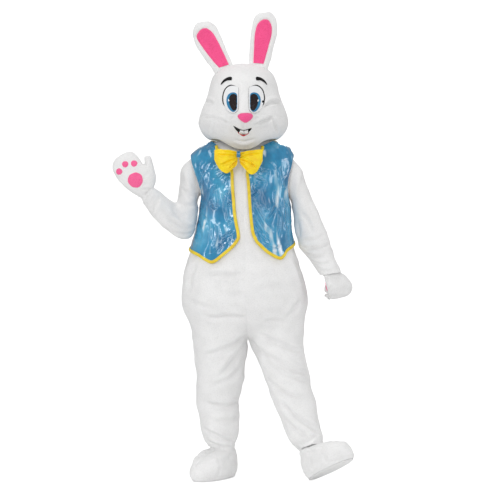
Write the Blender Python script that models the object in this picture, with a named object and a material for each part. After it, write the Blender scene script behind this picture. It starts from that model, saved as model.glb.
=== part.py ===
"""Rabbit mascot costume in its worn shape: jumpsuit, sleeves, mittens, shoe covers, head, vest and bow.

Lengths are millimetres until the end, where each mesh is made in metres. +Z is up, the wearer faces -Y, and
+X is the wearer's left. The origin is the middle of the neck at shoulder height.
Cloth is a wall with a thickness: the outer skin, the same skin moved in, and an edge between them.
Pieces that meet at a seam share its points, and each is pulled back from it by SEAM.
Outline points named front(x, y) are on a front drawing, 4.4 mm a unit, seen from 6 m.
"""

import math

import bpy
import numpy as np
from mathutils import Vector
from mathutils.bvhtree import BVHTree

SEAM = 0.17
CLOTH = 2.0
VINYL = 1.0
FLOOR = -1462.0

NODES = {}
COLOURS = {
    "plush": (0.86, 0.86, 0.85),
    "pink": (0.95, 0.12, 0.32),
    "pad": (0.90, 0.14, 0.30),
    "vinyl": (0.04, 0.28, 0.58),
    "yellow": (0.95, 0.68, 0.02),
    "black": (0.01, 0.01, 0.01),
    "white": (0.90, 0.90, 0.90),
    "blue": (0.06, 0.24, 0.48),
    "brown": (0.03, 0.012, 0.008),
    "red": (0.55, 0.02, 0.03),
}


# ---------------------------------------------------------------- points and walls
def front(x, y, depth=0.0):
    s = 4.4 * (6000.0 + depth) / 6000.0
    return np.array([28.6 + (x - 250.0) * s, depth, -471.0 + (250.0 - y) * s])


def unit(v):
    return v / max(float(np.linalg.norm(v)), 1e-12)


def grid_quads(rows, cols, flip=False, around=False):
    quads = []
    for r in range(rows - 1):
        for c in range(cols if around else cols - 1):
            d = (c + 1) % cols
            q = [r * cols + c, r * cols + d, (r + 1) * cols + d, (r + 1) * cols + c]
            quads.append(q[::-1] if flip else q)
    return quads


def triangles(points, faces):
    """Quads cut along the shorter diagonal."""
    out = []
    for f in faces:
        f = [f[i] for i in range(len(f)) if np.linalg.norm(points[f[i]] - points[f[i - 1]]) > 1e-4]
        if len(f) == 4:
            a, b, c, d = f
            if np.linalg.norm(points[a] - points[c]) <= np.linalg.norm(points[b] - points[d]):
                out += [[a, b, c], [a, c, d]]
            else:
                out += [[a, b, d], [b, c, d]]
        elif len(f) == 3:
            out.append(list(f))
    return out


def corner_normals(points, tris):
    """For each point, the sum of its triangles' normals, weighted by the corner's angle."""
    total = np.zeros_like(points)
    for t in tris:
        p = points[t]
        n = np.cross(p[1] - p[0], p[2] - p[0])
        size = np.linalg.norm(n)
        if size < 1e-9:
            continue
        n = n / size
        for i in range(3):
            a, b = unit(p[(i + 1) % 3] - p[i]), unit(p[(i + 2) % 3] - p[i])
            total[t[i]] += n * math.acos(max(-1.0, min(1.0, float(a @ b))))
    return total


def key(p):
    return (round(float(p[0]), 2), round(float(p[1]), 2), round(float(p[2]), 2))


def walls(pieces):
    """pieces: name, points, faces, thickness, colour. Points that coincide in several pieces get one normal, so seams mitre."""
    cut = []
    common = {}
    for name, points, faces, thick, colour in pieces:
        points = np.array(points, float)
        merged, index = {}, []
        for p in points:
            index.append(merged.setdefault(key(p), len(merged)))
        kept = np.zeros((len(merged), 3))
        for p, i in zip(points, index):
            kept[i] = p
        tris = triangles(kept, [[index[i] for i in f] for f in faces])
        tris = [t for t in tris if len(set(t)) == 3]
        own = corner_normals(kept, tris)
        for p, n in zip(kept, own):
            common[key(p)] = common.get(key(p), np.zeros(3)) + n
        cut.append((name, kept, tris, own, thick, colour))
    for name, points, tris, own, thick, colour in cut:
        normals = np.array([unit(common[key(p)]) for p in points])
        faced = np.array([max(0.16, float(unit(o) @ n)) for o, n in zip(own, normals)])
        edges = {}
        for t in tris:
            for i in range(3):
                edges[(t[i], t[(i + 1) % 3])] = t
        rim = [(a, b) for (a, b) in edges if (b, a) not in edges]
        inward = {}
        for a, b in rim:
            t = edges[(a, b)]
            n = unit(np.cross(points[t[1]] - points[t[0]], points[t[2]] - points[t[0]]))
            side = unit(np.cross(n, points[b] - points[a]))
            inward.setdefault(a, []).append(side)
            inward.setdefault(b, []).append(side)
        outer = points.copy()
        for i, sides in inward.items():
            v = sum(sides) / (1.0 + max(-0.6, float(sides[0] @ sides[-1]))) if len(sides) > 1 else sides[0]
            outer[i] = points[i] + v * SEAM / faced[i]
        inner = outer - normals * (thick * np.minimum(1.0 / faced, 2.0))[:, None]
        n = len(points)
        mesh = [list(t) for t in tris] + [[t[2] + n, t[1] + n, t[0] + n] for t in tris]
        for a, b in rim:
            if key(points[a]) < key(points[b]):
                mesh += [[b, a, a + n], [b, a + n, b + n]]
            else:
                mesh += [[b, a, b + n], [a, a + n, b + n]]
        NODES[name] = (np.vstack([outer, inner]), mesh, colour)


def solid(name, points, faces, colour):
    """A closed body from its faces."""
    points = np.array(points, float)
    merged, index = {}, []
    for p in points:
        index.append(merged.setdefault(key(p), len(merged)))
    kept = np.zeros((len(merged), 3))
    for p, i in zip(points, index):
        kept[i] = p
    tris = [t for t in triangles(kept, [[index[i] for i in f] for f in faces]) if len(set(t)) == 3]
    p = kept[np.array(tris)]
    if float((p[:, 0] * np.cross(p[:, 1], p[:, 2])).sum()) < 0:
        tris = [t[::-1] for t in tris]
    NODES[name] = (kept, tris, colour)


def tree(*names):
    points, faces = [], []
    for name in names:
        p, t, _ = NODES[name]
        faces += [tuple(int(i) + len(points) for i in f) for f in t]
        points += [Vector(q) for q in p]
    return BVHTree.FromPolygons(points, faces)


def lay(points, on, out, along=(0.0, 1.0, 0.0)):
    """Points dropped along a direction onto a mesh, then moved out from it."""
    d = Vector(along)
    laid = []
    for p in points:
        hit, n, _, _ = on.ray_cast(Vector(p) - d * 600.0, d)
        if hit is None:
            hit, n, _, _ = on.find_nearest(Vector(p))
        laid.append(np.array(hit) + np.array(n) * out)
    return np.array(laid)


def disc(outline, rings=2):
    """A flat patch: its middle, then rings out to the outline."""
    outline = np.array(outline, float)
    mid = outline.mean(axis=0)
    points, faces, n = [mid], [], len(outline)
    for r in range(1, rings + 1):
        points += list(mid + (outline - mid) * r / rings)
    for i in range(n):
        faces.append([0, 1 + i, 1 + (i + 1) % n])
        for r in range(rings - 1):
            a = 1 + r * n
            faces.append([a + i, a + n + i, a + n + (i + 1) % n, a + (i + 1) % n])
    return np.array(points), faces


def strip(left, right, cols=3):
    """A flat patch between two lines of as many points."""
    left, right = np.array(left, float), np.array(right, float)
    points = [a + (b - a) * c / (cols - 1) for a, b in zip(left, right) for c in range(cols)]
    return np.array(points), grid_quads(len(left), cols)


def facing(points, faces, towards):
    """Faces turned, all together, so that they look this way."""
    tris = triangles(points, faces)
    n = sum(np.cross(points[t[1]] - points[t[0]], points[t[2]] - points[t[0]]) for t in tris)
    return [f[::-1] for f in faces] if float(n @ np.array(towards)) < 0 else faces


def patch(name, flat, faces, on, gap, thick, colour, along=(0.0, 1.0, 0.0)):
    points = lay(flat, on, gap + thick, along)
    walls([(name, points, facing(points, faces, -np.array(along)), thick, colour)])


# ---------------------------------------------------------------- the jumpsuit's skin
# z at the side, the front and the back; x at the wearer's right and left side; depth to the front and the back
BODY = np.array([
    # z_side, z_front, z_back, x_right, x_left, d_front, d_back
    [18, -30, 15, -82, 82, 82, 78],
    [2, -50, 0, -135, 135, 100, 100],
    [-20, -72, -25, -183, 188, 113, 120],
    [-42, -95, -50, -213, 208, 124, 132],
    [-66, -120, -80, -232, 219, 134, 140],
    [-100, -150, -112, -234, 222, 143, 146],
    [-145, -183, -152, -223, 215, 150, 150],
    [-190, -215, -192, -206, 208, 155, 152],
    [-232, -245, -232, -190, 203, 158, 152],
    [-290, -290, -290, -188, 203, 162, 150],
    [-350, -350, -350, -197, 205, 167, 150],
    [-410, -410, -410, -212, 211, 173, 155],
    [-470, -470, -470, -232, 226, 182, 163],
    [-530, -530, -530, -250, 247, 191, 175],
    [-590, -590, -590, -264, 268, 199, 190],
    [-660, -660, -660, -271, 282, 205, 203],
    [-730, -730, -730, -268, 284, 200, 205],
    [-790, -790, -790, -251, 277, 188, 195],
    [-858, -858, -858, -232, 266, 178, 185],
], float)
CROTCH = 18.0  # the row of the crotch
LEGS = {
    # z, middle x, half width, middle y, front depth, back depth, tilt towards the foot
    -1: np.array([
        [-858, -107, 125, 0, 150, 165, 0],
        [-902, -103, 119, 0, 140, 150, 0],
        [-955, -103, 110, -2, 130, 138, 0],
        [-1043, -101, 103, -6, 118, 122, 0],
        [-1131, -110, 95, -10, 104, 106, 0],
        [-1219, -108, 88, -15, 90, 94, 0],
        [-1289, -103, 79, -18, 80, 84, 0],
        [-1334, -96, 69, -20, 73, 75, 0],
    ], float),
    1: np.array([
        [-858, 142, 124, 0, 150, 165, 0],
        [-901, 151.5, 114, -15, 138, 146, 0],
        [-953, 168.7, 105, -30, 126, 132, 0],
        [-1038, 194.3, 96, -55, 113, 115, 0],
        [-1122, 217.5, 93, -80, 101, 101, 0],
        [-1206, 242.6, 82, -105, 90, 91, 0.06],
        [-1272, 267.6, 75, -128, 80, 80, 0.22],
        [-1313, 284, 68, -142, 72, 72, 0.46],
    ], float),
}
TOE = {-1: np.array([-0.602, -0.799]), 1: np.array([0.70, -0.714])}


def rows_at(table, r):
    i = int(min(max(math.floor(r), 0), len(table) - 2))
    t = r - i
    return table[i] * (1 - t) + table[i + 1] * t


def leg(row, s, side, back):
    z, cx, hw, cy, df, db, tilt = row
    phi = s * math.pi
    x = cx - side * hw * math.cos(phi)
    y = cy + (db if back else -df) * math.sin(phi)
    return np.array([x, y, z + tilt * float(np.array([x - cx, y - cy]) @ TOE[side])])


def suit(r, s, side, back):
    """The skin at row r, a share s of the way from the middle seam to the side."""
    if r >= CROTCH:
        return leg(rows_at(LEGS[side], r - CROTCH), s, side, back)
    z_side, z_front, z_back, x_right, x_left, df, db = rows_at(BODY, r)
    middle = 9.0 * min(max((r - 8) / 7, 0), 1) + 9.0 * min(max((r - 15) / 3, 0), 1)
    th = s * math.pi / 2
    x = middle + ((x_left if side > 0 else x_right) - middle) * math.sin(th)
    y = (db if back else -df) * math.cos(th)
    z = (z_back if back else z_front) * math.cos(th) ** 2 + z_side * math.sin(th) ** 2
    p = np.array([x, y, z])
    u = min(max((-700.0 - z) / 158.0, 0.0), 1.0)
    if r > 15 and u > 0:
        k = 1.0 - math.sqrt(max(0.0, 1.0 - u * u))
        q = leg(LEGS[side][0], s, side, back)
        q[2] = z
        p = p * (1 - k) + q * k
    return p


def armhole(r, wide=0.24, top=4.0, bottom=8.0):
    """The share of the way to the side where the armhole's edge is."""
    mid, half = (top + bottom) / 2, (bottom - top) / 2
    u = (r - mid) / half
    return 1.0 - wide * math.sqrt(1 - u * u) if abs(u) < 1 else 1.0


def row_of_z(z):
    return float(np.interp(-z, -BODY[:, 0], np.arange(len(BODY))))


ARM_ROWS = [4.0, 4.67, 5.33, 6.0, 6.67, 7.33, 8.0]
SUIT_ROWS = (
    [0.0, 1.33, 2.67] + ARM_ROWS + [9, 10, 11, 12, 13, 14, 15]
    + [row_of_z(z) for z in (-700, -745, -785, -820, -845)]
    + [18, 19, 20, 21, 22, 23, 24, 25]
)
COLS = 5


def panel(side, back):
    points = [suit(r, armhole(r) * c / COLS, side, back) for r in SUIT_ROWS for c in range(COLS + 1)]
    flip = (side < 0) != back
    return points, grid_quads(len(SUIT_ROWS), COLS + 1, flip=not flip)


# ---------------------------------------------------------------- sleeves
# the two edges of each ring on the front drawing (the outer arm first), its depth and half depth
SLEEVES = {
    -1: [
        (183, 168, 198.6, 203, -5, 72), (180.5, 178, 198.5, 207, -10, 66),
        (178.5, 190, 197.9, 210, -18, 62), (177, 199, 197.3, 213.5, -26, 58),
        (176.3, 201, 196.2, 224, -36, 58), (175.5, 201.5, 191, 236.5, -46, 60),
        (174.5, 201.5, 183, 239.5, -55, 62), (172.5, 200.5, 175.5, 236, -66, 60),
        (168, 197.5, 166, 228.5, -82, 56), (162, 192.5, 153, 216.5, -104, 50),
        (157, 188.5, 145.6, 206.8, -124, 44), (154.8, 186.8, 141.2, 200.4, -138, 40),
    ],
    1: [
        (301, 168, 291.9, 203, -2, 72), (305, 179, 292.5, 208, -3, 66),
        (313, 199, 294, 218, -5, 62), (319, 212, 295, 229, -10, 60),
        (323.5, 225.5, 296.5, 239, -15, 60), (329, 239.5, 299, 248, -25, 60),
        (332, 248, 306, 257, -42, 57), (335.5, 258.5, 311.5, 264, -60, 52),
        (339.5, 266, 316.5, 271, -72, 46), (342, 271.5, 319.3, 275.5, -85, 42),
    ],
}


def armhole_ring(side):
    ring = [suit(4.0, 1.0, side, False)]
    ring += [suit(r, armhole(r), side, False) for r in ARM_ROWS[1:-1]]
    ring += [suit(8.0, 1.0, side, False)]
    ring += [suit(r, armhole(r), side, True) for r in ARM_ROWS[-2:0:-1]]
    return ring


def sleeve(side):
    points = armhole_ring(side)
    n = len(points)
    for x0, y0, x1, y1, depth, half in SLEEVES[side]:
        a, b = front(x0, y0, depth), front(x1, y1, depth)
        for i in range(n):
            t = 2 * math.pi * i / n
            points.append((a + b) / 2 + (a - b) / 2 * math.cos(t) - np.array([0, half * math.sin(t), 0]))
    return points, grid_quads(len(points) // n, n, flip=side < 0, around=True)


def jumpsuit():
    pieces = []
    for side, word in ((-1, "right"), (1, "left")):
        for back in (False, True):
            points, faces = panel(side, back)
            pieces.append((f"suit_{'back' if back else 'front'}_{word}", points, faces, CLOTH, "plush"))
        points, faces = sleeve(side)
        pieces.append((f"sleeve_{word}", points, faces, CLOTH, "plush"))
    walls(pieces)
    # the strip behind the centre-back opening, made from the back panels' points, moved in
    rows = [r for r in SUIT_ROWS if 0 < r <= 13]
    points = []
    for r in rows:
        mid = suit(r, 0, -1, True)
        step = [(1 - 0.4) * mid + 0.4 * suit(r, armhole(r) / COLS, side, True) for side in (1, -1)]
        points += [step[0], mid, step[1]]
    points = np.array(points)
    faces = facing(points, grid_quads(len(rows), 3), (0, 1, 0))
    n = corner_normals(points, triangles(points, faces))
    points = points - np.array([unit(v) for v in n]) * (CLOTH + 0.7)
    walls([("back_placket", points, faces, 1.5, "plush")])


# ---------------------------------------------------------------- mittens
# the palm's outline, cuff to tip: little-finger edge and thumb edge of each row (u towards the thumb, v towards the tip)
HAND = [
    ((-20, -38), (38, -12)), ((-33, -8), (37, 7)), ((-57, 26), (56, 30)), ((-77, 65), (69, 66)),
    ((-88, 98), (52, 93)), ((-92, 128), (37, 118)), ((-90, 152), (31, 143)),
]
TIP = [(-80, 172), (-57, 187), (-30, 194), (-2, 193), (22, 174)]
THUMB = [[(69, 66), (52, 93), (37, 118)], [(76, 104), (62, 114), (46, 130)], [(78, 134), (69, 143), (55, 142)]]
HAND_COLS = 5
HAND_ACROSS = (0.0, 0.17, 0.5, 0.83, 1.0)


def mitten_pattern():
    """Flat points, faces, and how far each point stands from the middle plane, from 0 at the seam to 1."""
    flat = []
    for (a, b), (c, d) in HAND:
        flat += [(a + (c - a) * f, b + (d - b) * f) for f in HAND_ACROSS]
    flat += TIP
    faces = grid_quads(len(HAND) + 1, HAND_COLS)
    n = len(flat)
    flat += THUMB[1] + THUMB[2]
    base = [3 * HAND_COLS + 4, 4 * HAND_COLS + 4, 5 * HAND_COLS + 4]
    for i in range(2):
        faces.append([base[i], n + i, n + i + 1, base[i + 1]])
        faces.append([n + i, n + 3 + i, n + 4 + i, n + i + 1])
    lift = np.zeros(len(flat))
    for r in range(len(HAND)):
        wide = 0.94 if r < 2 else 1.06
        for c, h in ((1, 0.82), (2, 1.0), (3, 0.82)):
            lift[r * HAND_COLS + c] = h * wide * (0.82 if r == len(HAND) - 1 else 1.0)
    lift[4 * HAND_COLS + 4] = 0.55
    lift[n + 1] = 0.62
    return np.array(flat, float), faces, lift


def mitten_right(u, v, h):
    """Raised, palm to the front; h is positive on the palm's side."""
    o = front(146.5, 192.7, -138)
    return np.array([o[0] + u * 0.918 - v * 0.399, -138 - 0.08 * v - h, o[2] + u * 0.399 + v * 0.918])


CURL = 42.0
YAW, ROLL = math.radians(28), math.radians(13.8)


def mitten_left(u, v, h):
    """Lowered, closed as if round a 25 mm bar; h is positive on the palm's side."""
    if u > 46:
        u = 46 + (u - 46) * 0.35
    if u < -58:
        u = -58 + (u + 58) * 0.55
    u -= 22.0 * min(max((v - 2) / 40, 0), 1)
    h -= 17.0 * min(max((u - 12) / 45, 0), 1) * min(max((v + 5) / 40, 0), 1)
    away = -h
    if v <= 50:
        along, out = v, away
    else:
        phi = (v - 50) / CURL
        along = 50 + CURL * math.sin(phi) + away * math.sin(phi)
        out = -CURL * (1 - math.cos(phi)) + away * math.cos(phi)
    x = -u * math.cos(YAW) + out * math.sin(YAW) + 0.3 * min(v, 0)
    y = -u * math.sin(YAW) - out * math.cos(YAW) - 0.5 * min(v, 0)
    z = -along
    return np.array([378 + x * math.cos(ROLL) - z * math.sin(ROLL), -86 + y, -572 + x * math.sin(ROLL) + z * math.cos(ROLL)])


def mitten(word, place, deep):
    flat, faces, lift = mitten_pattern()
    sides = {}
    for name, sign in (("palm", 1), ("back", -1)):
        points = np.array([place(u, v, sign * deep * l) for (u, v), l in zip(flat, lift)])
        middle = np.array([place(u, v, sign * (deep * l + 5)) for (u, v), l in zip(flat, lift)])
        n = corner_normals(points, triangles(points, faces))
        turned = faces if float((n * (middle - points)).sum()) > 0 else [f[::-1] for f in faces]
        sides[name] = (points, turned)
    walls([(f"mitten_{word}_{n}", p, f, CLOTH, "plush") for n, (p, f) in sides.items()])
    # four pads on the palm
    on = tree(f"mitten_{word}_palm")
    big = (-20, 66) if word == "right" else (27, 60)
    for i, (u0, v0, r) in enumerate([(big[0], big[1], 32), (-33, 145, 13.5), (3, 133, 13.5), (-69, 127, 13.5)]):
        n = 12 if i == 0 else 8
        rim = [(u0 + r * math.cos(2 * math.pi * k / n), v0 + r * math.sin(2 * math.pi * k / n)) for k in range(n)]
        flat2, faces2 = disc(rim, 2 if i == 0 else 1)
        points = []
        for u, v in flat2:
            start, deeper = place(u, v, 90 if word == "right" else 36), place(u, v, 0)
            d = unit(deeper - start)
            hit, normal, _, _ = on.ray_cast(Vector(start), Vector(d))
            if hit is None:
                hit, normal, _, _ = on.find_nearest(Vector(start))
            points.append(np.array(hit) + (np.array(normal) * (4.0 if word == "right" else 6.4) if word == "right" or i == 0 else -d * 4.6))
        points = np.array(points)
        mid = place(u0, v0, 60 if word == "right" else 30) - place(u0, v0, 0)
        name = f"pad_{word}_palm" if i == 0 else f"pad_{word}_{i}"
        walls([(name, points, facing(points, faces2, mid), 1.2, "pad")])


# ---------------------------------------------------------------- shoe covers
# height, middle and half length along the foot, half width
SHOE = [(3, 60, 128, 62), (20, 60, 139, 71), (48, 58, 141, 75), (80, 51, 130, 72), (104, 34, 102, 65), (117, 12, 70, 59), (127, 0, 57, 54), (158, -4, 50, 49)]


def shoe(word, origin, ahead, pitch):
    f = np.array([ahead[0] * math.cos(pitch), ahead[1] * math.cos(pitch), math.sin(pitch)])
    up = np.array([-ahead[0] * math.sin(pitch), -ahead[1] * math.sin(pitch), math.cos(pitch)])
    across = np.cross(up, f)
    n = 14

    def ring(h, mid, long, wide):
        return [origin + f * (mid + long * math.cos(2 * math.pi * i / n)) + across * wide * math.sin(2 * math.pi * i / n) + up * h for i in range(n)]

    points = [p for row in SHOE for p in ring(*row)]
    walls([(f"shoe_{word}_upper", points, grid_quads(len(SHOE), n, around=True), CLOTH, "plush")])
    sole = ring(0, *SHOE[0][1:]) + ring(2.6, *SHOE[0][1:]) + [origin + f * 62, origin + f * 62 + up * 2.6]
    faces = grid_quads(2, n, around=True)
    for i in range(n):
        faces += [[(i + 1) % n, i, 2 * n], [n + i, n + (i + 1) % n, 2 * n + 1]]
    solid(f"shoe_{word}_sole", sole, faces, "plush")


# ---------------------------------------------------------------- the head
HEAD = np.array([
    # z at the front, the side and the back, half width, depth to the front and the back
    [345, 345, 345, 0.0, 0.0, 0.0],
    [340, 340, 340, 55, 60, 60],
    [325, 325, 325, 99, 105, 105],
    [300, 300, 300, 128, 138, 138],
    [265, 265, 265, 144, 160, 158],
    [225, 225, 225, 156, 170, 168],
    [185, 185, 185, 168, 174, 172],
    [145, 145, 145, 185, 178, 172],
    [105, 105, 105, 196, 182, 170],
    [70, 70, 70, 194, 182, 164],
    [35, 35, 35, 175, 172, 152],
    [5, 16, 5, 149, 160, 139],
    [-22, 22, -6, 128, 145, 128],
    [-38, 28, -4, 112, 122, 117],
], float)
HEAD_TOP = [0, 1, 2, 3, 4, 5, 6, 7, 8]
HEAD_LOW = [8, 8.6, 9.3, 10, 11, 12, 13]
TURNS = [0, 7, 14, 22, 32, 46, 66, 90]


def head(r, turn, back):
    """The head's skin at row r, turned this many degrees from the front or back towards the wearer's left."""
    z_front, z_side, z_back, hw, df, db = rows_at(HEAD, r)
    t = math.radians(turn)
    x, y = hw * math.sin(t), (db if back else -df) * math.cos(t)
    share = math.cos(t) ** (4 if back else 2)
    z = (z_back if back else z_front) * share + z_side * (1 - share)
    if not back:
        ahead = math.sqrt(max(math.cos(t), 0.0)) if turn < 90 and turn > -90 else 0.0
        y -= ahead * 74 * math.exp(-((x - 5) / 55) ** 2 / 2 - ((z - 84) / 46) ** 2 / 2)
        y -= ahead * 22 * math.exp(-((x - 2) / 24) ** 2 / 2) * math.exp(-((z - 150) / 48) ** 2 / 2)
    return np.array([x, y, z])


def mask():
    pieces = []
    for side, word in ((-1, "right"), (1, "left")):
        points = [head(r, side * t, False) for r in HEAD_TOP for t in TURNS]
        pieces.append((f"mask_crown_{word}", points, grid_quads(len(HEAD_TOP), len(TURNS), flip=side > 0), 3.0, "plush"))
    turns = [-t for t in TURNS[:0:-1]] + TURNS
    points = [head(r, t, False) for r in HEAD_LOW for t in turns]
    pieces.append(("mask_jaw", points, grid_quads(len(HEAD_LOW), len(turns), flip=True), 3.0, "plush"))
    turns = [-90, -67, -45, -22, 0, 22, 45, 67, 90]
    rows = HEAD_TOP + HEAD_LOW[1:]
    points = [head(r, t, True) for r in rows for t in turns]
    pieces.append(("mask_back", points, grid_quads(len(rows), len(turns)), 3.0, "plush"))
    walls(pieces)


# each ear's middle line on the front drawing with its half width in mm; the first point is at the head
EARS = {
    "right": [(226, 73.5, 44), (221, 64, 46), (216.3, 56, 51), (211.8, 48, 56), (208, 40, 59), (205.3, 32, 56), (203.8, 26, 46), (203.2, 22.2, 28)],
    "left": [(257.5, 68.5, 43), (259, 63, 44), (260.2, 56, 49), (261.5, 48, 53), (262.8, 40, 56), (264.4, 31, 58), (265, 22, 53), (264.9, 16, 42), (264.7, 12.6, 25)],
}
EAR_PINK = {
    "right": [((222, 70.7), (229.9, 66.8)), ((212.6, 60.4), (226, 58.5)), ((202.7, 47.5), (220.5, 46.6)), ((196.8, 37.5), (214.6, 35.6)), ((199, 31.5), (211, 31)), ((203, 28.4), (206.6, 28.2))],
    "left": [((253.2, 66.8), (262, 68.8)), ((253.6, 58), (265.4, 57.5)), ((254.1, 47), (268.5, 46.5)), ((254.8, 35), (271.6, 34)), ((257, 25.5), (271.5, 26)), ((260, 21.6), (269, 20.8)), ((263.4, 19.5), (266.6, 19.4))],
}


def ears():
    crown = tree("mask_crown_right", "mask_crown_left", "mask_back")
    for word, line in EARS.items():
        at = -45.0
        mids = [front(x, y, at) for x, y, _ in line]
        n = 7  # points across each face
        rings = []
        for i, (mid, (_, _, half)) in enumerate(zip(mids, line)):
            along = unit(mids[min(i + 1, len(mids) - 1)] - mids[max(i - 1, 0)])
            side = unit(np.cross(np.array([0.0, 1.0, 0.0]), along))
            deep = 15.0 * min(1.0, half / 42.0)
            ring = []
            for k in range(n):
                t = -1 + 2 * k / (n - 1)
                e = math.sin(t * math.pi / 2)
                ring.append(mid + side * half * e - np.array([0, deep * math.cos(t * math.pi / 2) ** 0.8 * 1.0 if abs(t) < 1 else 0, 0]))
            for k in range(n - 2, 0, -1):
                t = -1 + 2 * k / (n - 1)
                e = math.sin(t * math.pi / 2)
                ring.append(mid + side * half * e + np.array([0, deep * math.cos(t * math.pi / 2) ** 0.8, 0]))
            rings.append(ring)
        m = len(rings[0])
        # the root follows the crown below it
        axis = unit(mids[0] - mids[1])
        root = []
        for p in rings[0]:
            hit, normal, _, _ = crown.ray_cast(Vector(p - axis * 60.0), Vector(axis))
            root.append(np.array(hit) + np.array(normal) * 3.2 if hit is not None else p)
        rings[0] = root
        points = [p for ring in rings for p in ring]
        faces = grid_quads(len(rings), m, around=True)
        for r, turn in ((0, False), (len(rings) - 1, True)):
            b = r * m
            for k in range(n - 1):
                lower = [b + k, b + k + 1, b + (m - k - 1) % m, b + (m - k) % m]
                if k == 0:
                    lower = [b, b + 1, b + m - 1]
                elif k == n - 2:
                    lower = [b + k, b + k + 1, b + (m - k) % m]
                faces.append(lower if turn else lower[::-1])
        solid(f"ear_{word}", points, faces, "plush")
        on = tree(f"ear_{word}")
        left = [front(*a, at - 15) for a, _ in EAR_PINK[word]]
        right = [front(*b, at - 15) for _, b in EAR_PINK[word]]
        for edge in (left, right):  # the lowest row stops just above the crown
            down = unit(edge[0] - edge[1])
            hit, _, _, _ = crown.ray_cast(Vector(edge[1]), Vector(down))
            if hit is not None:
                reach = float((np.array(hit) - edge[1]) @ down) - 6.0
                edge[0] = edge[1] + down * min(reach, float(np.linalg.norm(edge[0] - edge[1])))
        flat, faces = strip(left, right, 4)
        patch(f"ear_{word}_pink", flat, faces, on, 1.6, 1.2, "pink")


def face():
    skin = tree("mask_crown_right", "mask_crown_left", "mask_jaw")

    def at(outline):
        return [front(x, y, -185) for x, y in outline]

    # outlines for the eye on the wearer's right; the other is its mirror about x = 243.6
    eye = [(237.9, 87.6), (238.5, 92), (238.7, 98), (238.7, 104), (238.2, 109.4), (235.8, 112.5), (231.6, 112.9), (228.2, 111.2), (225.6, 107.4), (224.0, 102), (223.8, 96.5), (225.2, 91), (228.2, 87.4), (232.4, 86.0)]
    iris = [(236.9, 94.4), (237.2, 99), (237.2, 104), (236.9, 108.4), (235.0, 111.4), (232.2, 111.6), (229.0, 108.8), (227.0, 104.4), (226.6, 99.2), (228.2, 94.8), (231.4, 92.7), (234.6, 92.6)]
    pupil = [(236.2, 97.2), (236.5, 101), (236.5, 105), (236.0, 108.2), (234.4, 109.9), (232.0, 109.0), (230.0, 105.6), (229.3, 101.6), (230.2, 97.6), (233.0, 95.4)]
    brow = ([(231.6, 77.2), (228.2, 77.3), (224.6, 79.2), (222.2, 81.8), (220.9, 84.2)], [(231.4, 80.3), (228.6, 80.2), (225.6, 81.2), (223.2, 83.0), (221.3, 84.6)])
    for word, turn in (("right", lambda x: x), ("left", lambda x: 487.2 - x)):
        previous = skin
        for name, outline, thick, gap, colour in (
            ("eye", eye, 1.4, 2.0, "white"), ("iris", iris, 1.0, 1.0, "blue"), ("pupil", pupil, 1.0, 0.9, "brown"),
        ):
            flat, faces = disc(at([(turn(x), y) for x, y in outline]), 3 if name == "eye" else 2)
            patch(f"{name}_{word}", flat, faces, previous, gap, thick, colour)
            previous = tree(f"{name}_{word}")
        shift = 0.6 if word == "left" else 0.0
        upper, lower = [[(turn(x) + shift, y) for x, y in line] for line in brow]
        flat, faces = strip(at(upper), at(lower), 3)
        patch(f"brow_{word}", flat, faces, skin, 1.3, 1.4, "black")
    nose = [(240.0, 114.3), (245.2, 113.9), (250.4, 114.1), (252.2, 116.0), (251.2, 118.6), (248.0, 121.2), (245.3, 122.2), (242.6, 121.2), (239.6, 118.8), (238.3, 116.2)]
    flat, faces = disc(at(nose), 3)
    mid = flat[0]
    points = lay(flat, skin, 6.4)
    away = np.linalg.norm(flat - mid, axis=1) / 26.0
    points[:, 1] -= 9.0 * np.sqrt(np.clip(1 - away**2, 0.0, 1.0)) * (np.arange(len(flat)) < 1 + 2 * len(nose))
    walls([("nose", points, facing(points, faces, (0, -1, 0)), 1.6, "pink")])
    # an open V: its upper edge, and its lower edge
    upper = [(233.4, 125.6), (236.6, 127.4), (239.6, 129.0), (241.6, 129.6), (243.6, 129.8), (245.8, 129.6), (247.8, 129.0), (249.6, 128.4), (251.3, 127.8)]
    lower = [(233.8, 126.4), (236.0, 129.6), (239.0, 132.6), (241.4, 134.2), (243.5, 135.2), (245.6, 134.4), (247.6, 133.0), (249.8, 130.8), (251.5, 128.6)]
    flat, faces = strip(at(upper), at(lower), 4)
    patch("mouth", flat, faces, skin, 1.4, 1.2, "black")
    inner = [(238.0, 132.4), (240.4, 134.3), (243.5, 135.9), (246.6, 134.5), (248.8, 132.8)]
    outer = [(237.7, 133.1), (240.1, 135.3), (243.5, 137.1), (246.9, 135.5), (249.2, 133.4)]
    flat, faces = strip(at(inner), at(outer), 3)
    patch("lip", flat, faces, skin, 1.4, 1.4, "red")
    on = tree("mouth")
    flat, faces = strip(at([(240.4, 130.3), (240.5, 131.7), (241.6, 133.2)]), at([(247.4, 130.3), (247.3, 131.5), (245.8, 133.2)]), 4)
    patch("teeth", flat, faces, on, 1.1, 1.2, "white")


# ---------------------------------------------------------------- the vest
VEST_OUT = 7.5
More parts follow.
